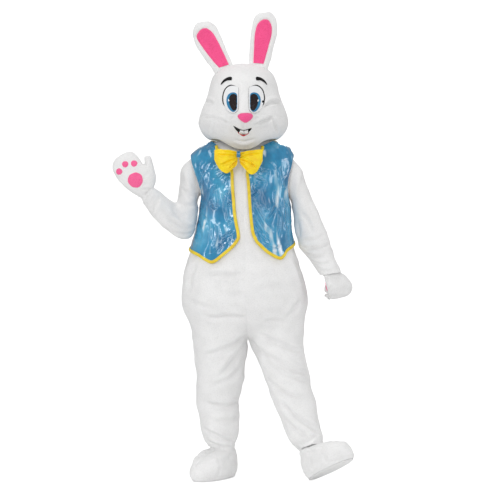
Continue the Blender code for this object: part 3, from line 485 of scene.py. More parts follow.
def felt(name, colour, shade, rough=0.85, sheen=0.2, specular=0.3):
    m, k = material(name, colour, rough=rough, sheen=sheen, sheen_rough=0.5, specular=specular)
    fibres = k["tex"](420.0, 3.0)
    weave = k["tex"](1100.0, 1.0, (1.0, 1.0, 0.3))
    c = k["ramp"](fibres, [(0.30, shade), (0.65, colour)])
    k["to"](k["mix"](c, k["ramp"](weave, [(0.3, grey(0.93)), (0.6, grey(1.0))]), 0.7), "Base Color")
    n = k["bump"](weave, 0.2, 0.0003)
    k["to"](k["bump"](fibres, 0.3, 0.0006, n), "Normal")
    k["to"](k["ramp"](fibres, [(0.3, grey(min(1.0, rough + 0.1))), (0.7, grey(rough - 0.1))]), "Roughness")
    return m


WHITE = plush("white_plush", (0.872, 0.870, 0.868), (0.78, 0.778, 0.776))
EAR_PINK_M = plush("pink_plush", (0.98, 0.105, 0.30), (0.86, 0.055, 0.20), sheen=0.2)
PAD_PINK_M = plush("pad_plush", (0.98, 0.155, 0.36), (0.88, 0.09, 0.25), sheen=0.2)
VINYL_M = vinyl_cloth("blue_vinyl")
BINDING_M = satin_cloth("yellow_binding", (0.86, 0.66, 0.035), (0.74, 0.52, 0.018))
YELLOW_M = satin_cloth("yellow_satin", (1.0, 0.76, 0.004), (0.93, 0.60, 0.003))
EYE_WHITE_M = felt("eye_white", (0.88, 0.885, 0.89), (0.82, 0.83, 0.84), rough=0.55, sheen=0.05)
IRIS_M = felt("eye_blue", (0.040, 0.27, 0.50), (0.020, 0.16, 0.34), rough=0.5, sheen=0.05)
PUPIL_M = felt("eye_dark", (0.018, 0.010, 0.010), (0.008, 0.005, 0.006), rough=0.42, sheen=0.0)
BLACK_M = felt("black_felt", (0.012, 0.011, 0.012), (0.005, 0.005, 0.006), rough=0.9, sheen=0.1, specular=0.15)
RED_M = felt("red_felt", (0.60, 0.030, 0.045), (0.42, 0.015, 0.025))
NOSE_M = felt("nose_pink", (0.98, 0.115, 0.34), (0.86, 0.065, 0.24), rough=0.6, sheen=0.3)
TEETH_M = felt("teeth_white", (0.88, 0.88, 0.87), (0.80, 0.80, 0.80), rough=0.55, sheen=0.05)


# ---------------------------------------------------------------- the jumpsuit's skin
# z at the side, the front and the back; x at the wearer's right and left side; depth to the front and the back
BODY = np.array([
    [18, -30, 15, -82, 82, 82, 78],
    [2, -50, 0, -135, 135, 100, 100],
    [-20, -72, -25, -183, 188, 113, 120],
    [-42, -95, -50, -213, 208, 124, 132],
    [-66, -120, -80, -232, 219, 134, 140],
    [-100, -150, -112, -234, 222, 143, 146],
    [-145, -183, -152, -223, 215, 150, 150],
    [-190, -215, -192, -206, 208, 155, 152],
    [-232, -245, -232, -190, 203, 158, 152],
    [-290, -290, -290, -188, 203, 162, 150],
    [-350, -350, -350, -197, 205, 167, 150],
    [-410, -410, -410, -212, 211, 173, 155],
    [-470, -470, -470, -232, 226, 182, 163],
    [-530, -530, -530, -250, 247, 191, 175],
    [-590, -590, -590, -264, 268, 199, 190],
    [-660, -660, -660, -271, 282, 205, 203],
    [-730, -730, -730, -268, 284, 200, 205],
    [-790, -790, -790, -251, 277, 188, 195],
    [-858, -858, -858, -232, 266, 178, 185],
], float)
LEGS = {
    # z, middle x, half width, middle y, front depth, back depth, tilt towards the foot
    -1: np.array([
        [-858, -107, 125, 0, 150, 165, 0],
        [-902, -103, 119, 0, 140, 150, 0],
        [-955, -103, 110, -2, 130, 138, 0],
        [-1043, -101, 103, -6, 118, 122, 0],
        [-1131, -110, 95, -10, 104, 106, 0],
        [-1219, -108, 88, -15, 90, 94, 0],
        [-1289, -103, 79, -18, 80, 84, 0],
        [-1334, -96, 69, -20, 73, 75, 0],
    ], float),
    1: np.array([
        [-858, 142, 124, 0, 150, 165, 0],
        [-901, 151.5, 114, -15, 138, 146, 0],
        [-953, 168.7, 105, -30, 126, 132, 0],
        [-1038, 194.3, 96, -55, 113, 115, 0],
        [-1122, 217.5, 93, -80, 101, 101, 0],
        [-1206, 242.6, 82, -105, 90, 91, 0.06],
        [-1272, 267.6, 75, -128, 80, 80, 0.22],
        [-1313, 284, 68, -142, 72, 72, 0.46],
    ], float),
}
TOE = {-1: np.array([-0.602, -0.799]), 1: np.array([0.70, -0.714])}


def leg(row, s, side, back):
    z, cx, hw, cy, df, db, tilt = np.moveaxis(np.asarray(row), -1, 0)
    phi = s * math.pi
    x = cx - side * hw * np.cos(phi)
    y = cy + (db if back else -df) * np.sin(phi)
    return np.stack([x, y, z + tilt * ((x - cx) * TOE[side][0] + (y - cy) * TOE[side][1])], -1)


def suit(r, s, side, back):
    """The skin at row r, a share s of the way from the middle seam to the side."""
    r, s = np.broadcast_arrays(np.asarray(r, float), np.asarray(s, float))
    z_side, z_front, z_back, x_right, x_left, df, db = np.moveaxis(curve(BODY, np.minimum(r, 18.0)), -1, 0)
    middle = 9.0 * np.clip((r - 8) / 7, 0, 1) + 9.0 * np.clip((r - 15) / 3, 0, 1)
    th = s * math.pi / 2
    x = middle + ((x_left if side > 0 else x_right) - middle) * np.sin(th)
    y = (db if back else -df) * np.cos(th)
    z = (z_back if back else z_front) * np.cos(th) ** 2 + z_side * np.sin(th) ** 2
    p = np.stack([x, y, z], -1)
    u = np.clip((-700.0 - z) / 158.0, 0.0, 1.0)
    arch = 1.0 - np.sqrt(np.maximum(0.0, 1.0 - u * u))
    slow = u * u * (3 - 2 * u)
    inner = 1.0 - ease(s, 0.05, 0.6)
    k = np.where(r > 15, arch * inner + slow * (1 - inner), 0.0)[..., None]
    q = leg(np.broadcast_to(LEGS[side][0], r.shape + (7,)), s, side, back)
    q[..., 2] = z
    p = p * (1 - k) + q * k
    return np.where((r >= 18)[..., None], leg(curve(LEGS[side], r - 18), s, side, back), p)


def armhole(r, wide=0.24, top=4.0, bottom=8.0):
    mid, half = (top + bottom) / 2, (bottom - top) / 2
    u = (np.asarray(r, float) - mid) / half
    return 1.0 - wide * np.sqrt(np.clip(1 - u * u, 0.0, 1.0))


def row_of_z(z):
    return float(np.interp(-z, -BODY[:, 0], np.arange(len(BODY))))


COLS = 50
ARM_STEPS = 40
ARM_ROWS = 6.0 - 2.0 * np.cos(np.linspace(0, math.pi, ARM_STEPS + 1))
SUIT_ROWS = np.concatenate([
    np.linspace(0, 4, 25)[:-1], ARM_ROWS, np.linspace(8, row_of_z(-700), 70)[1:],
    [row_of_z(-700 - 158 * math.sin(a)) for a in np.linspace(0, math.pi / 2, 36)[1:-1]],
    np.linspace(18, 25, 75),
])

SLEEVES = {
    -1: [
        (183, 168, 198.6, 203, -5, 72), (180.5, 178, 198.5, 207, -10, 66),
        (178.5, 190, 197.9, 210, -18, 62), (177, 199, 197.3, 213.5, -26, 58),
        (176.3, 201, 196.2, 224, -36, 58), (175.5, 201.5, 191, 236.5, -46, 60),
        (174.5, 201.5, 183, 239.5, -55, 62), (172.5, 200.5, 175.5, 236, -66, 60),
        (168, 197.5, 166, 228.5, -82, 56), (162, 192.5, 153, 216.5, -104, 50),
        (157, 188.5, 145.6, 206.8, -124, 44), (154.8, 186.8, 141.2, 200.4, -138, 40),
    ],
    1: [
        (301, 168, 291.9, 203, -2, 72), (305, 179, 292.5, 208, -3, 66),
        (313, 199, 294, 218, -5, 62), (319, 212, 295, 229, -10, 60),
        (323.5, 225.5, 296.5, 239, -15, 60), (329, 239.5, 299, 248, -25, 60),
        (332, 248, 306, 257, -42, 57), (335.5, 258.5, 311.5, 264, -60, 52),
        (339.5, 266, 316.5, 271, -72, 46), (342, 271.5, 319.3, 275.5, -85, 42),
    ],
}


def sleeve(side):
    ring = [suit(ARM_ROWS, armhole(ARM_ROWS), side, False), suit(ARM_ROWS[-2:0:-1], armhole(ARM_ROWS[-2:0:-1]), side, True)]
    rings = [np.concatenate(ring)]
    theta = math.pi * (ARM_ROWS - 4.0) / 4.0
    theta = np.concatenate([theta, 2 * math.pi - theta[-2:0:-1]])
    for x0, y0, x1, y1, depth, half in SLEEVES[side]:
        a, b = front(x0, y0, depth), front(x1, y1, depth)
        c = (a + b) / 2 + (a - b) / 2 * np.cos(theta)[:, None]
        c[:, 1] -= half * np.sin(theta)
        rings.append(c)
    rings = np.array(rings)
    at = spread(rings, 6.5)
    points = curve(rings, at)
    return points.reshape(-1, 3), quads(len(at), rings.shape[1], around=True)


# folds seen on the front, by place: points, depth, half width, which side stands up
SUIT_FOLDS = [
    ([(206, 276), (214, 274.6), (226, 275.4), (242, 274.2)], 3.4, 9, 1),
    ([(203, 316), (216, 318.4), (230, 317.2), (246, 318)], 4.0, 9, 1),
    ([(262, 322.5), (272, 321.2), (286, 322.2)], 2.6, 8, 1),
    ([(249, 340), (263, 353), (278, 363), (293, 371.5), (311, 375)], 6.5, 11, 1),
    ([(251, 346), (270, 364), (287, 375.5), (311, 383.5)], 5.0, 9, 1),
    ([(256, 332), (272, 341), (287, 348), (306, 353)], 4.2, 10, 1),
    ([(266, 377), (276, 388), (287, 395), (303, 398.5)], 4.4, 10, 1),
    ([(282, 402), (291, 413), (303, 422), (322, 432)], 5.2, 9, 1),
    ([(287, 421), (297, 431), (308, 438)], 3.8, 8, 1),
    ([(249, 339), (240, 352), (227, 368), (216, 377)], 5.4, 10, -1),
    ([(246, 336), (232, 346), (214, 353), (204, 355)], 4.2, 10, -1),
    ([(240, 368), (228, 380), (212, 386)], 3.2, 10, -1),
    ([(204, 402), (214, 405.5), (228, 407), (243, 400)], 5.6, 9, 1),
    ([(242, 416), (230, 421), (212, 421)], 3.6, 9, -1),
    ([(202, 428), (214, 435), (226, 440), (239, 441)], 4.4, 7, 1),
    ([(205, 440), (216, 446), (230, 449), (241, 447)], 4.2, 6, 1),
    ([(292, 256), (301, 270), (306, 286), (309, 304)], 4.6, 9, 1),
    ([(300, 300), (294, 311), (286, 318)], 3.2, 9, -1),
    ([(196, 262), (190, 274), (188, 292)], 3.4, 9, -1),
    ([(190, 300), (200, 306), (212, 307)], 2.8, 9, 1),
    ([(299, 456), (306, 449), (317, 443), (326, 441.6)], 4.8, 6, -1),
    ([(296, 447), (305, 441), (318, 434)], 3.4, 6, -1),
    ([(258, 290), (272, 287), (290, 291)], 2.2, 12, 1),
    ([(218, 292), (232, 296), (244, 293)], 2.0, 12, 1),
]
ARM_FOLDS = [
    ([(172, 206.5), (182, 205), (195, 206)], 3.6, 7, 1),
    ([(193, 222), (186, 221), (176, 213), (170, 206)], 3.4, 6, 1),
    ([(195, 226), (187, 228), (176, 224), (165, 216)], 4.4, 6, 1),
    ([(193, 231), (184, 234), (174, 232)], 3.6, 5, 1),
    ([(188, 212), (181, 217), (170, 214)], 2.8, 6, -1),
    ([(160, 196), (156, 205), (152, 215)], 2.6, 6, 1),
    ([(151, 193), (147, 201), (145, 207)], 2.4, 4, 1),
    ([(181, 187), (188, 194), (196, 197)], 2.4, 7, 1),
    ([(297, 221), (298, 229), (299, 238)], 3.4, 7, -1),
    ([(300, 212), (308, 221), (313, 233)], 2.8, 8, 1),
    ([(309, 199), (311, 210), (318, 221)], 2.2, 8, 1),
    ([(299, 247), (310, 249), (322, 247), (333, 243.5)], 4.6, 6, 1),
    ([(303, 253), (315, 257), (327, 255)], 4.0, 5, 1),
    ([(309, 260), (320, 264), (333, 261)], 3.6, 4.5, 1),
    ([(316, 268), (326, 271), (339, 268)], 2.8, 4, 1),
    ([(302, 240), (313, 240), (326, 234)], 3.0, 7, 1),
]
# the back is not in the photograph: folds of the same kind, where a body bends the cloth
BACK_FOLDS = [
    ([(205, 256), (222, 259), (243, 256), (262, 260), (280, 256)], 4.2, 10, 1),
    ([(212, 270), (230, 274), (252, 271)], 3.4, 10, 1),
    ([(198, 306), (216, 318), (236, 322)], 4.6, 11, 1),
    ([(292, 306), (276, 318), (256, 322)], 4.8, 11, -1),
    ([(248, 342), (232, 350), (212, 352)], 5.4, 10, -1),
    ([(252, 342), (270, 351), (290, 352)], 5.6, 10, 1),
    ([(242, 372), (226, 379), (208, 377)], 3.8, 10, -1),
    ([(262, 376), (280, 386), (300, 388)], 4.2, 10, 1),
    ([(206, 404), (220, 411), (238, 408)], 5.0, 9, 1),
    ([(204, 417), (218, 423), (240, 420)], 4.2, 8, 1),
    ([(282, 410), (296, 420), (316, 422)], 5.0, 9, 1),
    ([(204, 440), (222, 446), (240, 443)], 4.4, 7, 1),
    ([(296, 440), (310, 446), (324, 440)], 4.2, 7, 1),
    ([(200, 186), (204, 204), (200, 222)], 3.6, 9, -1),
    ([(286, 186), (284, 205), (288, 222)], 3.8, 9, 1),
    ([(196, 232), (182, 232), (168, 222)], 4.0, 7, -1),
    ([(176, 200), (184, 203), (196, 202)], 3.4, 7, 1),
    ([(300, 247), (314, 250), (330, 243)], 4.2, 6, 1),
    ([(306, 257), (318, 261), (332, 255)], 3.6, 5, 1),
]


def jumpsuit():
    cloth = Cloth()
    grid = quads(len(SUIT_ROWS), COLS + 1)
    r = np.repeat(SUIT_ROWS[:, None], COLS + 1, axis=1)
    share = np.where((r > 4) & (r < 8), armhole(r), 1.0) * np.arange(COLS + 1) / COLS
    for side, word in ((-1, "right"), (1, "left")):
        for back in (False, True):
            cloth.add(f"suit_{'back' if back else 'front'}_{word}", suit(r, share, side, back), grid, flip=(side < 0) == back)
        points, faces = sleeve(side)
        cloth.add(f"sleeve_{word}", points, faces, flip=side < 0)
    cloth.join()
    # the seat runs on into the legs without a step
    cloth.smooth(0.5 * np.exp(-(((cloth.p[:, 2] + 862) / 34.0) ** 2)), 40)
    cloth.refresh()
    plain = cloth.p.copy()
    p, n = cloth.p, cloth.n
    fronted, backed = np.clip(-n[:, 1] * 1.5 + 0.1, 0, 1), np.clip(n[:, 1] * 1.5 + 0.1, 0, 1)
    arms = np.zeros(len(p))
    for name in ("sleeve_right", "sleeve_left"):
        arms[np.unique(cloth.panels[name])] = 1.0
    q = seen(p)
    waist = 252.0 - 0.06 * (q[:, 0] - 243) * 0
    covered = (1 - arms) * (1 - ease(q[:, 1], waist - 4, waist + 12))
    by = creases(p, n, SUIT_FOLDS, fronted) * (1 - covered) * 2.9
    by += creases(p, n, ARM_FOLDS, fronted) * arms * 1.6
    by += creases(p, n, BACK_FOLDS, backed) * (1 - 0.75 * covered) * 1.15
    by += (noise(p * (1, 1, 1.5), 95, 3) * 3.6 + noise(p * (1, 1, 1.3), 42, 5) * 1.5 + noise(p, 17, 7) * 0.5) * (1 - 0.65 * covered)
    by = np.where(covered > 0.3, np.minimum(by, 1.2), by)
    seam = cloth.near(cloth.seams(), 16.0)
    by -= 1.6 * np.exp(-((seam / 4.5) ** 2))
    # gathers where elastic draws in the cuffs and hems
    for name, rows in (("sleeve_right", 1), ("sleeve_left", 1)):
        f = cloth.panels[name]
        ids = np.unique(f)
        edge = np.zeros(len(p), bool)
        free = rim_of(f)[:, 0]
        edge[free[~cloth.seams()[free]]] = True
        d = cloth.near(edge, 60.0)
        mid = p[edge].mean(axis=0)
        a = np.arctan2(p[:, 1] - mid[1], (p[:, 0] - mid[0]) * 0.8 + (p[:, 2] - mid[2]) * 0.6)
        wave = np.sin(a * 13 + 1.5 * np.sin(a * 3)) * 1.5
        by[ids] += (wave * np.exp(-d / 20.0) * (d < 59) - 3.5 * np.exp(-((d / 9.0) ** 2)))[ids]
    for side, z0 in ((-1, -1334), (1, -1313)):
        cx = LEGS[side][-1][1]
        cy = LEGS[side][-1][3]
        low = (p[:, 2] < z0 + 90) & (np.sign(p[:, 0] - 90) == side)
        a = np.arctan2(p[:, 1] - cy, p[:, 0] - cx)
        by -= np.where(low, 11.0 * np.exp(-((np.maximum(p[:, 2] - z0 + (14 if side > 0 else 0), 0) / 26.0) ** 2)), 0.0)
        by += np.where(low, np.sin(a * 15 + 1.4 * np.sin(a * 4)) * 1.6 * np.exp(-np.maximum(p[:, 2] - z0, 0) / 32.0), 0.0)
    rim = np.zeros(len(p), bool)
    rim[np.unique(rim_of(cloth.all))] = True
    rim &= (p[:, 2] < -1180) & (p[:, 0] > 150)
    d = cloth.near(rim, 60.0)
    by -= 13.0 * np.exp(-((d / 17.0) ** 2)) * (d < 59)
    cloth.move(by)
    # the left hem laps over the shoe cover
    drop = np.where((cloth.p[:, 2] < -1180) & (cloth.p[:, 0] > 150), np.exp(-np.maximum(cloth.p[:, 2] + 1313 - 0.36 * (cloth.p[:, 0] - 290), 0) / 34.0), 0.0)
    cloth.p += drop[:, None] * np.array([5.0, -4.0, -15.0])
    cloth.smooth(0.5 * np.exp(-((d / 24.0) ** 2)) * (d < 59) * ~rim, 6)
    cloth.refresh()
    cloth.plain = plain
    flats = {"suit_front_right": (0.52, 1.42), "suit_front_left": (0.54, 1.42), "suit_back_right": (0.54, 1.46), "suit_back_left": (0.56, 1.46), "sleeve_right": (0.46, 0.52), "sleeve_left": (0.46, 0.44)}
    for name in flats:
        obj = cloth.build(name, CLOTH, WHITE)
        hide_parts(name)
        SHEETS.append((obj, "hung", ["mask_jaw"] if name.startswith("suit") else ["suit_front_right"]))
    # the strip behind the centre-back opening, which lies against the back
    rows = np.linspace(0.1, 13, 150)
    points = []
    for side, c in ((1, 0.4), (1, 0.2), (1, 0.0), (-1, 0.2), (-1, 0.4)):
        points.append(suit(rows, c * 0.2 * armhole(np.clip(rows, 4, 8)), side, True))
    points = np.stack(points, 1).reshape(-1, 3)
    faces = quads(len(rows), 5)
    n = point_normals(points, faces)
    if n[:, 1].mean() < 0:
        faces, n = faces[:, ::-1], -n
    obj = shell("back_placket", points - n * (CLOTH + 7.0), n, faces, 1.5, WHITE)
    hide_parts("back_placket")
    SHEETS.append((obj, "hung", ["suit_back_right"]))
    return cloth


SHEETS = []


# ---------------------------------------------------------------- forms from a coarse cage
def rounded(points, faces, tags, levels=3, rounds=4):
    """A smooth skin through the cage's points. Returns points, quads and each quad's tag."""
    want = np.asarray(points, float)
    cage = want.copy()
    mesh = bpy.data.meshes.new("cage")
    mesh.from_pydata((cage / 1000.0).tolist(), [], [tuple(dict.fromkeys(f)) for f in faces])
    mesh.polygons.foreach_set("material_index", tags)
    obj = bpy.data.objects.new("cage", mesh)
    bpy.context.scene.collection.objects.link(obj)
    mod = obj.modifiers.new("round", "SUBSURF")
    out = None
    for k in range(rounds + 1):
        mod.levels = mod.render_levels = levels if k == rounds else 2
        mesh.vertices.foreach_set("co", (cage / 1000.0).ravel())
        mesh.update()
        bpy.context.view_layer.update()
        ev = obj.evaluated_get(bpy.context.evaluated_depsgraph_get())
        got = ev.to_mesh()
        co = np.zeros(len(got.vertices) * 3, np.float32)
        got.vertices.foreach_get("co", co)
        co = co.reshape(-1, 3).astype(float) * 1000.0
        if k < rounds:
            cage = cage + (want - co[: len(want)]) * 0.9
        else:
            index = np.zeros(len(got.loops), np.int32)
            got.loops.foreach_get("vertex_index", index)
            tag = np.zeros(len(got.polygons), np.int32)
            got.polygons.foreach_get("material_index", tag)
            out = co, index.reshape(-1, 4), tag
        ev.to_mesh_clear()
    bpy.data.objects.remove(obj)
    return out


HAND = [
    ((-20, -38), (38, -12)), ((-33, -8), (37, 7)), ((-57, 26), (56, 30)), ((-77, 65), (69, 66)),
    ((-88, 98), (52, 93)), ((-92, 128), (37, 118)), ((-90, 152), (31, 143)),
]
TIP = [(-80, 172), (-57, 187), (-30, 194), (-2, 193), (22, 174)]
THUMB = [[(69, 66), (52, 93), (37, 118)], [(76, 104), (62, 114), (46, 130)], [(78, 134), (69, 143), (55, 142)]]
HAND_COLS = 5
HAND_ACROSS = (0.0, 0.17, 0.5, 0.83, 1.0)


def mitten_pattern():
    flat = []
    for (a, b), (c, d) in HAND:
        flat += [(a + (c - a) * f, b + (d - b) * f) for f in HAND_ACROSS]
    flat += TIP
    faces = quads(len(HAND) + 1, HAND_COLS).tolist()
    n = len(flat)
    flat += THUMB[1] + THUMB[2]
    base = [3 * HAND_COLS + 4, 4 * HAND_COLS + 4, 5 * HAND_COLS + 4]
    for i in range(2):
        faces.append([base[i], n + i, n + i + 1, base[i + 1]])
        faces.append([n + i, n + 3 + i, n + 4 + i, n + i + 1])
    lift = np.zeros(len(flat))
    for r in range(len(HAND)):
        wide = 0.94 if r < 2 else 1.06
        for c, h in ((1, 0.82), (2, 1.0), (3, 0.82)):
            lift[r * HAND_COLS + c] = h * wide * (0.82 if r == len(HAND) - 1 else 1.0)
    lift[4 * HAND_COLS + 4] = 0.55
    lift[n + 1] = 0.62
    return np.array(flat, float), faces, lift


def mitten_right(u, v, h):
    o = front(146.5, 192.7, -138)
    return np.array([o[0] + u * 0.918 - v * 0.399, -138 - 0.08 * v - h, o[2] + u * 0.399 + v * 0.918])


CURL = 42.0
YAW, ROLL = math.radians(28), math.radians(13.8)


def mitten_left(u, v, h):
    if u > 46:
        u = 46 + (u - 46) * 0.35
    if u < -58:
        u = -58 + (u + 58) * 0.55
    u -= 22.0 * min(max((v - 2) / 40, 0), 1)
    h -= 17.0 * min(max((u - 12) / 45, 0), 1) * min(max((v + 5) / 40, 0), 1)
    away = -h
    if v <= 50:
        along, out = v, away
    else:
        phi = (v - 50) / CURL
        along = 50 + CURL * math.sin(phi) + away * math.sin(phi)
        out = -CURL * (1 - math.cos(phi)) + away * math.cos(phi)
    x = -u * math.cos(YAW) + out * math.sin(YAW) + 0.3 * min(v, 0)
    y = -u * math.sin(YAW) - out * math.cos(YAW) - 0.5 * min(v, 0)
    z = -along
    return np.array([378 + x * math.cos(ROLL) - z * math.sin(ROLL), -86 + y, -572 + x * math.sin(ROLL) + z * math.cos(ROLL)])


HAND_FOLDS = {
    "right": [
        ([(139, 186), (146, 184), (152, 186)], 1.8, 5, 1), ([(139, 191), (146, 189), (154, 191)], 2.0, 4, 1),
        ([(150, 170), (146, 176), (141, 180)], 1.6, 4, 1),
    ],
    "left": [
        ([(325, 290), (333, 286), (342, 287)], 2.2, 4, 1), ([(328, 299), (336, 296), (346, 299)], 2.2, 5, 1),
        ([(330, 309), (338, 305), (348, 307)], 2.0, 4, 1), ([(327, 279), (333, 276), (341, 278)], 1.8, 4, 1),
    ],
}


def mitten(word, place, deep):
    flat, faces, lift = mitten_pattern()
    n = len(flat)
    palm = np.array([place(u, v, deep * l) for (u, v), l in zip(flat, lift)])
    back = np.array([place(u, v, -deep * l) for (u, v), l in zip(flat, lift)])
    own = np.where(lift > 0)[0]
    turn = {int(i): n + k for k, i in enumerate(own)}
    points = np.vstack([palm, back[own]])
    cage = [list(f) for f in faces] + [[turn.get(i, i) for i in f[::-1]] for f in faces]
    tags = [0] * len(faces) + [1] * len(faces)
    p, f, tag = rounded(points, cage, tags, 3)
    if word == "left":
        # the thumb lies along the fist
        q = seen(p)
        p = p + (ease(329.5 - q[:, 0], 0, 3.5) * ease(q[:, 1] - 291.5, 0, 4))[:, None] * np.array([14.0, 0.0, 5.0])
    # out of the hand
    probe = face_normals(p, f[tag == 0])[:400].sum(axis=0)
    want = place(0, 60, 60) - place(0, 60, 0)
    centre = f[tag == 0][len(f[tag == 0]) // 2]
    probe = face_normals(p, centre[None])[0]
    toward = np.array(place(0.0, 20.0, 60.0)) - np.array(place(0.0, 20.0, 0.0))
    k = int(np.argmin(np.linalg.norm(p[f[tag == 0]].mean(axis=1) - np.array(place(0.0, 20.0, deep)), axis=1)))
    probe = face_normals(p, f[tag == 0][k][None])[0]
    del want, centre
    if probe @ toward < 0:
        f = f[:, ::-1]
    cloth = Cloth()
    cloth.add("palm", p, f[tag == 0])
    cloth.add("back", p, f[tag == 1])
    cloth.join(0.02)
    q, nn = cloth.p, cloth.n
    seam = cloth.near(cloth.seams(), 14.0)
    by = 1.0 * np.exp(-((seam / 2.2) ** 2)) - 1.7 * np.exp(-(((seam - 6.0) / 3.2) ** 2))
    by += noise(q, 30, 11) * 1.3 + noise(q, 13, 13) * 0.5
    by += creases(q, nn, HAND_FOLDS[word], np.clip(-nn[:, 1] * 1.5 + 0.1, 0, 1))
    # soft wrinkles round the wrist
    origin, ahead = np.array(place(0.0, 0.0, 0.0)), unit(np.array(place(0.0, 40.0, 0.0)) - np.array(place(0.0, 0.0, 0.0)))
    v = (q - origin) @ ahead
    by += np.sin(v / 3.3 + 1.6 * noise(q, 26, 15)) * 1.1 * np.exp(-((v + 16) / 17.0) ** 2)
    cloth.move(by)
    cloth.refresh()
    for part in ("palm", "back"):
        obj = cloth.build(part, CLOTH, WHITE, piece=f"mitten_{word}_{part}")
        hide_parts(f"mitten_{word}_{part}")
        SHEETS.append((obj, "hung", [f"sleeve_{word}"]))
    on = cloth.tree("palm")
    big = (-20, 66) if word == "right" else (27, 60)
    for i, (u0, v0, r) in enumerate([(big[0], big[1], 32), (-33, 145, 13.5), (3, 133, 13.5), (-69, 127, 13.5)]):
        name = f"pad_{word}_palm" if i == 0 else f"pad_{word}_{i}"
        turns, rings = 64, 14 if i == 0 else 9
        ring_r = r * np.sin(np.linspace(0, math.pi / 2, rings + 1))[1:]
        grid, rise = [], []
        for a in range(turns):
            for k in range(rings):
                t = 2 * math.pi * a / turns
                rr = ring_r[k] * (1 + 0.025 * math.sin(3 * t + i) + 0.015 * math.sin(7 * t + 2 * i))
                start = np.array(place(u0 + rr * math.cos(t), v0 + rr * math.sin(t), 90 if word == "right" else 36))
                end = np.array(place(u0 + rr * math.cos(t), v0 + rr * math.sin(t), 0))
                grid.append((start, unit(end - start)))
                rise.append(ring_r[k] / r)
        start = np.array(place(u0, v0, 90 if word == "right" else 36))
        grid.append((start, unit(np.array(place(u0, v0, 0)) - start)))
        rise.append(0.0)
        top = []
        for (start, d), e in zip(grid, rise):
            hit, normal, _, _ = on.ray_cast(Vector(start), Vector(d))
            if hit is None:
                hit, normal, _, _ = on.find_nearest(Vector(start))
            h = 0.7 + (4.4 if i == 0 else 2.6) * max(0.0, 1 - e ** 3.2) ** 0.6
            way = np.array(normal) if word == "right" or i == 0 else -d
            if way @ -d < 0:
                way = -way
            top.append((np.array(hit), way, h))
        hits = np.array([t[0] for t in top])
        ways = np.array([t[1] for t in top])
        hs = np.array([t[2] for t in top])
        hs = hs + (noise(hits, 9, 17 + i) * 0.5) * (np.array(rise) < 0.85)
        face = np.concatenate([quads(turns, rings), np.stack([np.arange(rings - 1) + (turns - 1) * rings, np.arange(1, rings) + (turns - 1) * rings, np.arange(1, rings), np.arange(rings - 1)], -1)])
        mid = turns * rings
        a = np.arange(turns) * rings
        face = np.concatenate([face, np.stack([np.full(turns, mid), a, np.roll(a, -1), np.roll(a, -1)], -1)])
        pts = hits + ways * hs[:, None]
        nrm = face_normals(pts, face).sum(axis=0)
        if nrm @ ways.mean(axis=0) < 0:
            tri = face[:, 2] == face[:, 3]
            flipped = face[:, ::-1].copy()
            flipped[tri] = np.stack([face[tri, 2], face[tri, 1], face[tri, 0], face[tri, 0]], -1)
            face = flipped
        # a padded form: its domed top and its flat underside on the palm
        under = hits + ways * 0.15
        m = len(pts)
        rim = rim_of(face)
        back_face = face[:, ::-1] + m
        tri = face[:, 2] == face[:, 3]
        back_face[tri] = np.stack([face[tri, 2], face[tri, 1], face[tri, 0], face[tri, 0]], -1) + m
        band = np.stack([rim[:, 1], rim[:, 0], rim[:, 0] + m, rim[:, 1] + m], -1)
        obj = make(name, np.vstack([pts, under]), np.concatenate([face, back_face, band]), PAD_PINK_M, np.vstack([rim + m]))
        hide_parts(name)


# ---------------------------------------------------------------- shoe covers
SHOE = [(3, 60, 128, 62), (20, 60, 139, 71), (48, 58, 141, 75), (80, 51, 130, 72), (104, 34, 102, 65), (117, 12, 70, 59), (127, 0, 57, 54), (158, -4, 50, 49)]


